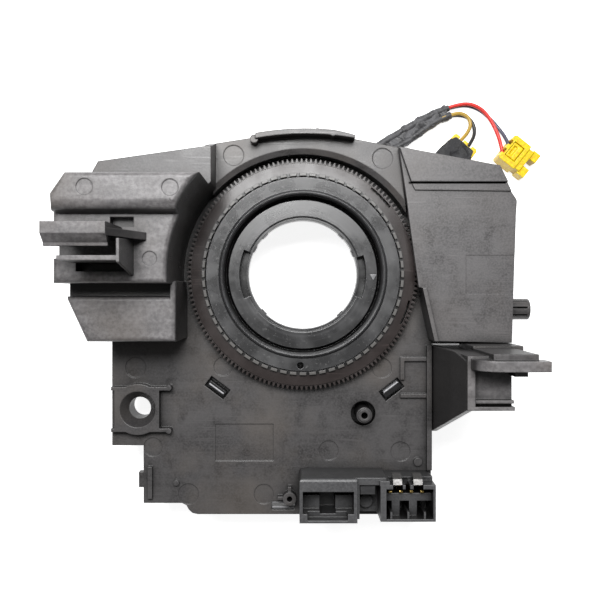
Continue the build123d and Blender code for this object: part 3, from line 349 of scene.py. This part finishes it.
def gear_acetal(name, colour):
    """Brown-black acetal of the toothed ring, with lug tops painted pale as a painted highlight
    in a band painted dark as painted shade, and painted highlights on the edges.
    """
    finish = Finish(name, colour, 0.30)
    finish.round_edges(0.0003)
    cloud = finish.spread(finish.grain(0.010, 6.0, (1, 1, 1), 0.4), 0.38, 0.66)
    finish.tint(cloud, scaled(colour, 1.6), 0.5)
    finish.tint(finish.scratches(), scaled(colour, 3.0), 0.5)
    # painted highlight: edges and tooth tips painted lighter
    finish.tint(finish.edges(0.0004), scaled(colour, 3.0), 0.6)
    radius, z = finish.polar()
    groove = finish.band(radius, GROOVE_IN, GROOVE_OUT, 0.00025)
    # painted shade: the band round the lugs painted dark
    finish.tint(groove, GROOVE_SHADE, 0.9)
    tops = finish.spread(z, LUG_TOP - 0.0005, LUG_TOP - 0.0002)
    # painted highlight: the lug tops painted pale
    finish.tint(finish.maths("MULTIPLY", groove, tops), LUG_HIGHLIGHT, 0.9)
    # painted shade in crevices and between the teeth
    finish.paint_crevice_shade(0.003, 0.95)
    finish.vary_roughness(cloud, 0.12)
    finish.relief(finish.grain(0.0006, 2.0), 0.000012)
    return finish.done(Specular_IOR_Level=0.55, IOR=1.5)


def bright_metal(name, colour, roughness=0.25):
    """Plated strip metal with rolling lines and slight tarnish."""
    finish = Finish(name, colour, roughness)
    tarnish = finish.spread(finish.grain(0.0012, 4.0), 0.45, 0.75)
    finish.tint(tarnish, scaled(colour, 0.72), 0.5)
    finish.vary_roughness(tarnish, 0.15)
    finish.relief(finish.grain(0.0002, 2.0, (1, 12, 1)), 0.000004)
    return finish.done(Metallic=1.0)


def insulation(name, colour):
    """Extruded wire insulation with a faint drawn texture and rubbed patches."""
    finish = Finish(name, colour, 0.38)
    rub = finish.spread(finish.grain(0.003, 4.0), 0.45, 0.75)
    finish.tint(rub, scaled(colour, 0.7), 0.4)
    finish.vary_roughness(rub, 0.2)
    finish.relief(finish.grain(0.0004, 3.0), 0.00001)
    return finish.done(Specular_IOR_Level=0.5, IOR=1.5, Coat_Weight=0.15, Coat_Roughness=0.3)


def harness_tape(name, colour, roughness=0.42):
    """Wrapped vinyl tape: creases with painted highlights along them, dull and shiny patches."""
    finish = Finish(name, colour, roughness)
    patch = finish.spread(finish.grain(0.0035, 4.0), 0.4, 0.65)
    finish.tint(patch, scaled(colour, 3.2), 0.8)
    creases = finish.grain(0.0011, 4.0, (1, 1, 1), 0.6)
    # painted highlight: crease ridges painted lighter
    finish.tint(finish.spread(creases, 0.52, 0.72), scaled(colour, 5.0), 0.5)
    finish.vary_roughness(patch, 0.2)
    finish.relief(creases, 0.0003, 0.8)
    return finish.done(Specular_IOR_Level=0.5, IOR=1.5)


def laminate(name, colour, roughness=0.3):
    """Sheet material with soft mottling, for film and circuit board."""
    finish = Finish(name, colour, roughness)
    cloud = finish.spread(finish.grain(0.004, 4.0), 0.4, 0.7)
    finish.tint(cloud, scaled(colour, 0.8), 0.5)
    finish.vary_roughness(cloud, 0.15)
    finish.relief(finish.grain(0.0005, 2.0), 0.000005)
    return finish.done(Specular_IOR_Level=0.5, IOR=1.5)


# ---------------------------------------------------------------- pieces
def body_of(node):
    """Body that carries a CAD node."""
    bodies = frame["record"]["behaviour"]["bodies"]
    return next(body for body, nodes in bodies.items() if node in nodes)


def merged_copy(node, flatten=False):
    """CAD node's mesh with its doubles merged, and its flat triangles joined if asked."""
    shape = bmesh.new()
    shape.from_mesh(frame["nodes"][node].data)
    bmesh.ops.remove_doubles(shape, verts=shape.verts, dist=DOUBLES)
    if flatten:
        bmesh.ops.dissolve_limit(shape, angle_limit=FLAT, verts=shape.verts, edges=shape.edges)
    return shape


def shaded_object(name, shape):
    """Object made from a bmesh, smooth except at its sharp edges."""
    for edge in shape.edges:
        edge.smooth = len(edge.link_faces) == 2 and edge.calc_face_angle(0) < SHARP
    for face in shape.faces:
        face.smooth = True
    mesh = bpy.data.meshes.new(name)
    shape.to_mesh(mesh)
    shape.free()
    return linked_object(name, mesh)


def linked_object(name, data):
    """Object in the scene that holds a mesh, curve, light or camera."""
    holder = bpy.data.objects.new(name, data)
    bpy.context.scene.collection.objects.link(holder)
    return holder


def place_piece(piece, material, node):
    """Gives a piece its material, and the body of the CAD node it belongs to."""
    piece.data.materials.clear()
    piece.data.materials.append(material)
    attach(piece, body_of(node))


def finish_node(node, material, rounding=0.0, reshape=None):
    """Smoothly shaded copy of a CAD node, with its edges rounded if asked, that stands for it."""
    shape = merged_copy(node, rounding > 0)
    if reshape:
        reshape(shape)
    piece = shaded_object(f"{node}_finished", shape)
    if rounding > 0:
        edges = piece.modifiers.new("edges", "BEVEL")
        edges.limit_method = "ANGLE"
        edges.angle_limit = SHARP
        edges.width = rounding
        edges.segments = 2
    shading = piece.modifiers.new("flats", "WEIGHTED_NORMAL")
    shading.keep_sharp = True
    place_piece(piece, material, node)
    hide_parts(node)


def new_piece(name, shape, material, node):
    """Piece made from a bmesh, which goes with a CAD node."""
    bmesh.ops.recalc_face_normals(shape, faces=shape.faces)
    piece = shaded_object(name, shape)
    place_piece(piece, material, node)
    return piece


def add_bar(shape, x0, x1, y0, y1, z0, z1):
    """Box between two corners, in millimetres."""
    size = Vector((x1 - x0, y1 - y0, z1 - z0)) * MM
    centre = Vector((x0 + x1, y0 + y1, z0 + z1)) * (MM / 2)
    verts = bmesh.ops.create_cube(shape, size=1.0)["verts"]
    bmesh.ops.scale(shape, vec=size, verts=verts)
    bmesh.ops.translate(shape, vec=centre, verts=verts)
    return verts


def turn_about(shape, verts, degrees, axis="Z"):
    """Turns some corners of a shape about an axis through the origin."""
    turn = Matrix.Rotation(math.radians(degrees), 3, axis)
    bmesh.ops.rotate(shape, cent=(0, 0, 0), matrix=turn, verts=verts)


# ---------------------------------------------------------------- details of the mouldings
RIDGE_Y = 20.0 * MM                 # front wall of the ridge
RIDGE_X = -34.0 * MM                # its right-hand end
RIDGE_FOOT = LEDGE_Z + 1.5 * MM     # nothing below this height moves
RIDGE_DROP = 5.0 * MM
RIDGE_MIDDLE = Vector((-3.3, -8.1)) * MM    # point that its outline spreads away from
RIDGE_SPREAD = 0.023
SOFT = 1.8 * MM                     # rounding of its front edge before and after
SOFTER = 4.0 * MM


def settle_ridge(shape):
    """Brings the ridge above the left bay down and gives its front edge a fuller rounding."""
    front = RIDGE_Y - 0.5 * MM
    for vert in shape.verts:
        if vert.co.x > RIDGE_X or vert.co.y < front or vert.co.z < RIDGE_FOOT:
            continue
        across = RIDGE_Y + SOFT - vert.co.y
        rise = vert.co.z - (RIDGE_Z - SOFT)
        vert.co.z -= RIDGE_DROP
        if across > -1e-5 and rise > -1e-5:
            turn = math.atan2(max(rise, 0), max(across, 0))
            vert.co.y = RIDGE_Y + SOFTER * (1 - math.cos(turn))
            vert.co.z = RIDGE_Z - RIDGE_DROP - SOFTER * (1 - math.sin(turn))
        vert.co.xy += (vert.co.xy - RIDGE_MIDDLE) * RIDGE_SPREAD


DISH = ((23.3, 30.1), (27.3, 27.4), (29.6, 26.8))   # radii and heights of the hub's cone, in mm
DISH_SLOPE = 0.01                   # its slope afterwards
DISH_MARGIN = (0.05, 0.12)          # how far inside and outside a stretch still counts, in mm
DISH_SKIN = 0.2                     # how far off the cone a corner still counts, in mm


def settle_dish(shape):
    """Brings the cone round the bore up to a gentle slope, out to the dark groove of the hub."""
    lip_r, lip_z = DISH[0]
    inner, outer = DISH_MARGIN
    for vert in shape.verts:
        radius = vert.co.xy.length / MM
        for (r0, z0), (r1, z1) in zip(DISH, DISH[1:]):
            height = z0 + (z1 - z0) * (radius - r0) / (r1 - r0)
            on_cone = abs(vert.co.z / MM - height) < DISH_SKIN
            if on_cone and r0 - inner < radius < r1 + outer:
                vert.co.z = (lip_z - (radius - lip_r) * DISH_SLOPE) * MM
                break


BORE_R = 21.8                       # radius of the bore and top of its lip, in mm
LIP_TOP = 29.4
NUB_ANGLES = (134.7, 152.0, 45.0, 23.0, -46.5, -136.0)
ARROW = (28.1, -0.8, 29.90)         # middle of the triangle, in mm
ARROW_TILT = 0.6                    # slope of the dish there, in degrees
TIPS_X = (33.6, 40.1, 46.4)         # middles of the airbag socket's ribs, in mm
SLOT_BARS = ((-92.5, -91.8), (-94.6, -93.7))        # near and far sides of the two bars, in mm
HOOKS = ((-34.7, -45.95, -36.2), (35.4, -45.4, 37.2))       # x, y and direction of each snap hook


def snap_nubs():
    """Small snap nubs round the bore's lip."""
    shape = bmesh.new()
    for angle in NUB_ANGLES:
        nub = add_bar(shape, BORE_R - 0.5, BORE_R + 0.6, -1.4, 1.4, LIP_TOP - 3.4, LIP_TOP - 0.3)
        turn_about(shape, nub, angle)
    return shape


def turn_arrow():
    """Raised triangle on the dish that marks the straight-ahead position."""
    shape = bmesh.new()
    sizes = {"radius1": 1.9 * MM, "radius2": 1.6 * MM, "depth": 0.8 * MM}
    verts = bmesh.ops.create_cone(shape, cap_ends=True, segments=3, **sizes)["verts"]
    turn_about(shape, verts, 180)
    turn_about(shape, verts, ARROW_TILT, "Y")
    bmesh.ops.translate(shape, vec=Vector(ARROW) * MM, verts=verts)
    return shape


def rib_tips():
    """Bright tips of the ribs in the airbag socket."""
    shape = bmesh.new()
    for x in TIPS_X:
        add_bar(shape, x - 0.35, x + 0.35, -93.4, -91.2, 41.2, 42.2)
    return shape


def slot_bars():
    """Two bars in the slot at the lower edge of the plate."""
    shape = bmesh.new()
    for near, far in SLOT_BARS:
        add_bar(shape, -12.4, -3.5, near, far, 24.8, 26.6)
    return shape


def hook_bars():
    """Pale upright bars on the case's snap hooks, seen in their windows: a painted highlight
    along each hook.
    """
    shape = bmesh.new()
    for x, y, angle in HOOKS:
        verts = add_bar(shape, -3.5, 3.5, -0.28, 0.28, 22.5, 28.05)
        turn_about(shape, verts, angle)
        bmesh.ops.translate(shape, vec=Vector((x, y, 0)) * MM, verts=verts)
    return shape


# ---------------------------------------------------------------- harness routes
GLAND_ANGLE = math.radians(60.0)
EXIT_RADIUS = 55.1                  # mouth of the gland, in mm like the rest of these
SLEEVE_Z = 1.7                      # heights of the sleeves, of an upper and a lower wire
HIGH = 2.51
LOW = 0.89
ENTRY_Z = 4.4                       # height at which the wires enter the plugs


def from_exit(forward, sideways, z):
    """Point measured from the gland's mouth, in millimetres."""
    along = Vector((math.cos(GLAND_ANGLE), math.sin(GLAND_ANGLE), 0))
    across = Vector((-along.y, along.x, 0))
    point = along * (EXIT_RADIUS + forward) + across * sideways
    return point.x, point.y, z


ROUTES = {
    "upper_sleeve": [
        from_exit(0, 1.7, 3.2), from_exit(5.8, 1.7, 3.2), (33.8, 57.8, 2.8), (39.8, 61.4, 2.3),
        (46.9, 65.6, 1.9), (53.9, 69.7, SLEEVE_Z), (60.1, 72.8, SLEEVE_Z), (64.8, 74.4, SLEEVE_Z),
    ],
    "lower_sleeve": [
        from_exit(0, -1.7, 3.2), from_exit(5.8, -1.7, 3.2), (37.6, 54.9, 2.8), (44.3, 58.2, 2.3),
        (50.4, 62.3, 1.9), (56.0, 66.4, SLEEVE_Z), (61.0, 69.7, SLEEVE_Z), (65.8, 71.2, SLEEVE_Z),
    ],
    "red_wire": [
        (64.8, 74.4, HIGH), (68.5, 75.7, HIGH), (74.1, 76.2, 2.6), (79.2, 73.9, 2.6),
        (83.0, 69.4, 2.6), (85.6, 64.2, 2.9), (87.1, 58.9, 3.8), (87.92, 53.9, ENTRY_Z),
    ],
    "grey_wire": [
        (64.8, 74.4, LOW), (68.4, 75.5, LOW), (73.8, 75.9, LOW), (79.4, 73.7, LOW),
        (84.0, 69.4, LOW), (87.4, 65.2, 1.4), (89.6, 61.2, 3.0), (90.68, 57.32, ENTRY_Z),
    ],
    "yellow_wire": [
        (57.0, 67.06, HIGH), (61.0, 69.7, HIGH), (65.8, 71.2, HIGH), (69.5, 72.15, HIGH),
        (73.3, 70.5, HIGH), (74.6, 66.8, HIGH), (72.9, 63.1, 3.0), (70.6, 60.6, 3.8),
        (68.6, 58.38, ENTRY_Z),
    ],
    "black_wire": [
        (57.0, 67.06, LOW), (61.0, 69.7, LOW), (65.8, 71.2, LOW), (69.6, 71.6, LOW),
        (73.8, 70.6, LOW), (76.3, 67.2, LOW), (76.5, 63.0, 1.5), (74.6, 59.2, 3.2),
        (72.02, 55.62, ENTRY_Z),
    ],
}


def route_curve(name, points, diameter, end=1.0):
    """Smooth curve with a route's points as its control points; its end may narrow."""
    curve = bpy.data.curves.new(name, "CURVE")
    curve.dimensions = "3D"
    spline = curve.splines.new("NURBS")
    spline.points.add(len(points) - 1)
    for knot, point in zip(spline.points, points):
        knot.co = (*(Vector(point) * MM), 1.0)
    spline.points[-1].radius = end
    spline.order_u = 3
    spline.use_endpoint_u = True
    spline.resolution_u = 10
    curve.bevel_depth = diameter / 2
    curve.bevel_resolution = 6
    curve.use_fill_caps = True
    return linked_object(name, curve)


def curve_line(points):
    """Points along the smooth curve of a route, in metres."""
    probe = route_curve("probe", points, 0)
    bpy.context.view_layer.update()
    mesh = bpy.data.meshes.new_from_object(probe)
    places = [vert.co.copy() for vert in mesh.vertices]
    bpy.data.objects.remove(probe)
    bpy.data.meshes.remove(mesh)
    return places


def curve_length(points):
    """Length of the smooth curve through a route, in metres."""
    places = curve_line(points)
    return sum((b - a).length for a, b in zip(places, places[1:]))


WRAP = (0.30, 0.975)                # stretch of the sleeves that the wrap binds
WRAP_SIDE = 1.75 * MM               # from a sleeve's middle to the wrap's side and to its top
WRAP_TOP = 1.8 * MM
WRAP_CREASE = (3.2 * MM, 1.0 * MM)  # width and height of its creases
FLOOR_GAP = 0.05 * MM
CREASE_SEED = 1795469927            # places the creases; unseeded, they differ in each run


def crumple(place, size):
    """Creases of two sizes, as a vector within a unit."""
    return noise.noise_vector(place / size) * 0.7 + noise.noise_vector(place * 3 / size) * 0.35


def sleeve_wrap():
    """Crumpled tape that binds the two sleeves together."""
    noise.seed_set(CREASE_SEED)
    upper, lower = (curve_line(ROUTES[node]) for node in ("upper_sleeve", "lower_sleeve"))
    shape = bmesh.new()
    bmesh.ops.create_cone(shape, cap_ends=True, segments=36, radius1=1, radius2=1, depth=2)
    runs = [edge for edge in shape.edges if abs(edge.verts[0].co.z - edge.verts[1].co.z) > 1]
    bmesh.ops.subdivide_edges(shape, edges=runs, cuts=60)
    start, end = WRAP
    width, height = WRAP_CREASE
    last = len(upper) - 1
    for vert in shape.verts:
        u, v, along = vert.co
        spot = (start + (end - start) * (along + 1) / 2) * last
        step = min(int(spot), last - 1)
        left = upper[step].lerp(upper[step + 1], spot - step)
        right = lower[step].lerp(lower[step + 1], spot - step)
        across = (left - right) / 2
        half = across.length + WRAP_SIDE
        wide = math.copysign(abs(u) ** 0.8, u)
        rise = math.copysign(abs(v) ** 0.8, v) * (0.62 + 0.38 * u * u) * WRAP_TOP
        place = (left + right) / 2 + across.normalized() * half * wide + Vector((0, 0, rise))
        place += crumple(place, width) * height
        vert.co = (place.x, place.y, max(place.z, FLOOR_GAP))
    return shape


REAR_PLUG = (66.5, 52.3)            # its place, in mm
REAR_PLUG_TURN = -129.0
FOAM = (5.9, 7.2, 5.05)             # half sizes of the foam wrap, in mm
FOAM_AHEAD = 0.3                    # how far it sits towards the plug's mouth, in mm
FOAM_CREASE = (5.0 * MM, 1.5 * MM)  # width and height of its creases


def foam_wrap():
    """Crumpled foam tape round the rear plug, torn back at its corners."""
    noise.seed_set(CREASE_SEED)
    shape = bmesh.new()
    bmesh.ops.create_cube(shape, size=2)
    bmesh.ops.subdivide_edges(shape, edges=shape.edges, cuts=22, use_grid_fill=True)
    width, height = FOAM_CREASE
    for vert in shape.verts:
        u, v, w = vert.co
        torn = 0.58 + 0.42 * min(1.0, (u + 1) / 1.1)
        place = Vector((u * FOAM[0], v * FOAM[1] * torn, w * FOAM[2])) * MM
        place += crumple(place, width) * height
        x, y, z = (max(-size, min(size, part / MM)) for size, part in zip(FOAM, place))
        vert.co = Vector((x + FOAM_AHEAD, y, z + FOAM[2])) * MM
    turn_about(shape, shape.verts, REAR_PLUG_TURN)
    bmesh.ops.translate(shape, vec=Vector((*REAR_PLUG, 0)) * MM, verts=shape.verts)
    return shape


def lay_cord(node, diameter, material, end=1.0):
    """Cord on its route, which stands for the plain CAD solid."""
    points = ROUTES[node]
    piece = route_curve(f"{node}_cord", points, diameter, end)
    place_piece(piece, material, node)
    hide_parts(node)
    curve_length(points)


# ---------------------------------------------------------------- operators
CAMERA_X = -3.32 * MM
CAMERA_Y = -8.06 * MM
FLOOR_HALF = 1.5                    # half the floor's width, in metres
FLOOR_WHITE = 0.86                  # emission that brings it to white where it is seen


class MakeStage(bpy.types.Operator):
    """Camera above the part, soft lights and a pale floor."""

    bl_idname = "clockspring.make_stage"
    bl_label = "Stage"

    def execute(self, context):
        scene = context.scene
        stage = scene.clock_spring_stage
        scene.view_settings.view_transform = "Standard"
        camera = bpy.data.cameras.new("camera")
        camera.sensor_width = 36.0
        camera.lens = stage.lens
        camera.clip_start = 0.01
        scene.camera = linked_object("camera", camera)
        scene.camera.location = (CAMERA_X, CAMERA_Y, stage.camera_height)
        self.lamp("key", (-0.03, 0.18, 0.43), (0.34, 0.17), stage.key)
        self.lamp("window", (0.0, 0.50, 0.27), (0.30, 0.30), stage.window)
        self.surroundings(scene, stage.world)
        self.floor()
        return {"FINISHED"}

    def lamp(self, name, place, size, power):
        """Rectangular soft light that faces the part."""
        light = bpy.data.lights.new(name, "AREA")
        light.shape = "RECTANGLE"
        light.size, light.size_y = size
        light.energy = power
        holder = linked_object(name, light)
        holder.location = place
        holder.rotation_euler = (-Vector(place)).to_track_quat("-Z", "Y").to_euler()

    def surroundings(self, scene, strength):
        """White all round: full strength to the camera, and less as light."""
        world = bpy.data.worlds.new("surroundings")
        world.use_nodes = True
        tree = world.node_tree
        background = tree.nodes["Background"]
        background.inputs["Color"].default_value = WHITE
        path = tree.nodes.new("ShaderNodeLightPath")
        seen = tree.nodes.new("ShaderNodeMapRange")
        tree.links.new(path.outputs["Is Camera Ray"], seen.inputs["Value"])
        seen.inputs["To Min"].default_value = strength
        seen.inputs["To Max"].default_value = 1.0
        tree.links.new(seen.outputs["Result"], background.inputs["Strength"])
        scene.world = world

    def floor(self):
        """Pale floor that keeps a soft shadow."""
        shape = bmesh.new()
        bmesh.ops.create_grid(shape, x_segments=1, y_segments=1, size=FLOOR_HALF)
        floor = shaded_object("floor", shape)
        finish = Finish("floor_paper", (0.9, 0.9, 0.9), 0.9)
        finish.tint(finish.grain(0.05, 3.0), (0.88, 0.88, 0.88), 0.5)
        rays = finish.add("ShaderNodeLightPath").outputs
        seen = finish.maths("MAXIMUM", rays["Is Camera Ray"], rays["Is Glossy Ray"])
        seen = finish.maths("MAXIMUM", seen, rays["Is Transmission Ray"])
        glow = finish.maths("MULTIPLY", seen, FLOOR_WHITE)
        finish.join(finish.shader.inputs["Emission Strength"], glow)
        paper = finish.done(Emission_Color=WHITE, Specular_IOR_Level=0.2)
        floor.data.materials.append(paper)


class MakePlugs(bpy.types.Operator):
    """Yellow airbag plugs with their locks, and the tape round one of them."""

    bl_idname = "clockspring.make_plugs"
    bl_label = "Plugs"

    def execute(self, context):
        sizes = context.scene.clock_spring_sizes
        colours = context.scene.clock_spring_colours
        yellow = moulded_plastic(
            "plug_moulding", colours.plug, 0.35, 0.0006, 0.12, shade_depth=0.3
        )
        for node in ("front_plug", "front_plug_lock", "rear_plug", "rear_plug_lock"):
            finish_node(node, yellow, sizes.plug_edge)
        cloth = harness_tape("plug_tape_cloth", (0.010, 0.010, 0.011), 0.6)
        foam = new_piece("plug_tape_foam", foam_wrap(), cloth, "plug_tape")
        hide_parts("plug_tape")
        return {"FINISHED"}


class MakeHarness(bpy.types.Operator):
    """Taped sleeves and wires of the airbag harness."""

    bl_idname = "clockspring.make_harness"
    bl_label = "Harness cords"

    def execute(self, context):
        sizes = context.scene.clock_spring_sizes
        colours = context.scene.clock_spring_colours
        tape = harness_tape("sleeve_tape", (0.032, 0.032, 0.034))
        new_piece("sleeve_wrap", sleeve_wrap(), tape, "upper_sleeve")
        lay_cord("upper_sleeve", sizes.sleeve, tape, 0.85)
        lay_cord("lower_sleeve", sizes.sleeve, tape)
        plugs = {
            "red_wire": ("front_plug_finished", "front_plug_lock_finished"),
            "grey_wire": ("front_plug_finished",),
            "yellow_wire": ("rear_plug_finished", "rear_plug_lock_finished", "plug_tape_foam"),
            "black_wire": ("rear_plug_finished",),
        }
        for node, pieces in plugs.items():
            material = insulation(f"{node}_insulation", getattr(colours, node.split("_")[0]))
            lay_cord(node, sizes.wire, material)
        return {"FINISHED"}


class MakeBracket(bpy.types.Operator):
    """Bracket housing and the cover of the sensor."""

    bl_idname = "clockspring.make_bracket"
    bl_label = "Bracket and cover"

    def execute(self, context):
        colours = context.scene.clock_spring_colours
        nylon = moulded_plastic("housing_moulding", colours.housing, wear=0.8, dust=0.35)
        finish_node("bracket_housing", nylon, reshape=settle_ridge)
        lid = moulded_plastic("cover_moulding", colours.cover, wear=0.7, dust=0.15)
        finish_node("sensor_cover", lid)
        return {"FINISHED"}


class MakeSockets(bpy.types.Operator):
    """Socket housing with its latch, pins and shorting clips."""

    bl_idname = "clockspring.make_sockets"
    bl_label = "Sockets"

    def execute(self, context):
        sizes = context.scene.clock_spring_sizes
        colours = context.scene.clock_spring_colours
        black = moulded_plastic(
            "socket_moulding", colours.socket, wear=0.3, dust=0.03, shade_depth=0.97,
            shade_reach=0.008,
        )
        for node in ("socket_housing", "wheel_socket"):
            finish_node(node, black)
        finish_node("latch_clip", bright_metal("latch_steel", (0.16, 0.16, 0.165), 0.4))
        gold = bright_metal("pin_gold", (0.86, 0.62, 0.22), 0.2)
        for node in ("airbag_pins", "control_pins", "wheel_socket_pins"):
            finish_node(node, gold, sizes.fine_edge)
        finish_node("shorting_clips", bright_metal("clip_tin", (0.22, 0.215, 0.21), 0.45))
        return {"FINISHED"}


class MakeRotor(bpy.types.Operator):
    """Hub, toothed ring, disc and cable gland."""

    bl_idname = "clockspring.make_rotor"
    bl_label = "Rotor"

    def execute(self, context):
        colours = context.scene.clock_spring_colours
        finish_node("rotor_hub", turned_gloss("hub_moulding", colours.hub), reshape=settle_dish)
        finish_node("sensor_gear_ring", gear_acetal("gear_moulding", colours.gear))
        drum = moulded_plastic("drum_moulding", colours.drum, 0.38, wear=0.3)
        for node in ("rotor_disc", "cable_gland"):
            finish_node(node, drum)
        finish_node("ribbon_case", moulded_plastic("case_moulding", (0.010, 0.010, 0.0105), 0.3))
        return {"FINISHED"}


class MakeMarks(bpy.types.Operator):
    """Snap nubs and arrow of the hub, rib tips of the socket, bars in the slot, and pale bars in
    the windows that paint a highlight on the snap hooks.
    """

    bl_idname = "clockspring.make_marks"
    bl_label = "Small marks"

    def execute(self, context):
        colours = context.scene.clock_spring_colours
        gloss = turned_gloss("nub_moulding", colours.hub)
        pale = moulded_plastic("mark_plastic", (0.16, 0.16, 0.165), 0.35)
        silver = bright_metal("rib_glint", (0.42, 0.42, 0.43), 0.35)
        # painted highlight: pale plastic for the bars on the black snap hooks
        hook = moulded_plastic("hook_plastic", (0.26, 0.26, 0.27), 0.3, shade_depth=0.1)
        new_piece("snap_nubs", snap_nubs(), gloss, "rotor_hub")
        new_piece("turn_arrow", turn_arrow(), pale, "rotor_hub")
        new_piece("rib_tips", rib_tips(), silver, "socket_housing")
        new_piece("slot_bars", slot_bars(), pale, "bracket_housing")
        new_piece("hook_bars", hook_bars(), hook, "bracket_housing")
        return {"FINISHED"}


class MakeInside(bpy.types.Operator):
    """Ribbon, slip sheet, pinions and sensor board."""

    bl_idname = "clockspring.make_inside"
    bl_label = "Inside"

    def execute(self, context):
        sizes = context.scene.clock_spring_sizes
        finish_node("ribbon_cable", laminate("ribbon_film", (0.60, 0.56, 0.46)))
        finish_node("slip_sheet", laminate("slip_film", (0.55, 0.55, 0.53), 0.5))
        green = laminate("board_lacquer", (0.012, 0.10, 0.035))
        finish_node("sensor_board", green, sizes.fine_edge)
        chip = moulded_plastic("chip_epoxy", (0.02, 0.02, 0.02), 0.5, 0.0003, 0.2)
        finish_node("sensor_chips", chip, sizes.fine_edge)
        acetal = moulded_plastic("pinion_acetal", (0.035, 0.034, 0.033), 0.4)
        for node in ("sensor_gear_upper", "sensor_gear_lower"):
            finish_node(node, acetal)
        return {"FINISHED"}


class ClockSpringPanel(bpy.types.Panel):
    """Settings and steps of the clock spring."""

    bl_idname = "VIEW3D_PT_clock_spring"
    bl_label = "Clock Spring"
    bl_space_type = "VIEW_3D"
    bl_region_type = "UI"
    bl_category = "Clock Spring"

    def draw(self, context):
        for group in ("clock_spring_sizes", "clock_spring_colours", "clock_spring_stage"):
            settings = getattr(context.scene, group)
            box = self.layout.box()
            for name in settings.bl_rna.properties.keys():
                if name not in ("rna_type", "name"):
                    box.prop(settings, name)
        for operator in OPERATORS:
            self.layout.operator(operator.bl_idname)


SETTINGS = {
    "clock_spring_sizes": ClockSpringSizes,
    "clock_spring_colours": ClockSpringColours,
    "clock_spring_stage": ClockSpringStage,
}
OPERATORS = (
    MakeStage, MakePlugs, MakeHarness, MakeBracket, MakeSockets, MakeRotor, MakeMarks, MakeInside
)


def register():
    """Adds the settings, operators and panel to Blender."""
    for entry in (*SETTINGS.values(), *OPERATORS, ClockSpringPanel):
        bpy.utils.register_class(entry)
    for name, group in SETTINGS.items():
        setattr(bpy.types.Scene, name, PointerProperty(type=group))


def unregister():
    """Takes them out again."""
    for name in SETTINGS:
        delattr(bpy.types.Scene, name)
    for entry in (ClockSpringPanel, *reversed(OPERATORS), *SETTINGS.values()):
        bpy.utils.unregister_class(entry)


def main():
    """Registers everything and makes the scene."""
    register()
    for operator in OPERATORS:
        group, name = operator.bl_idname.split(".")
        getattr(getattr(bpy.ops, group), name)()


if __name__ == "__main__":
    main()
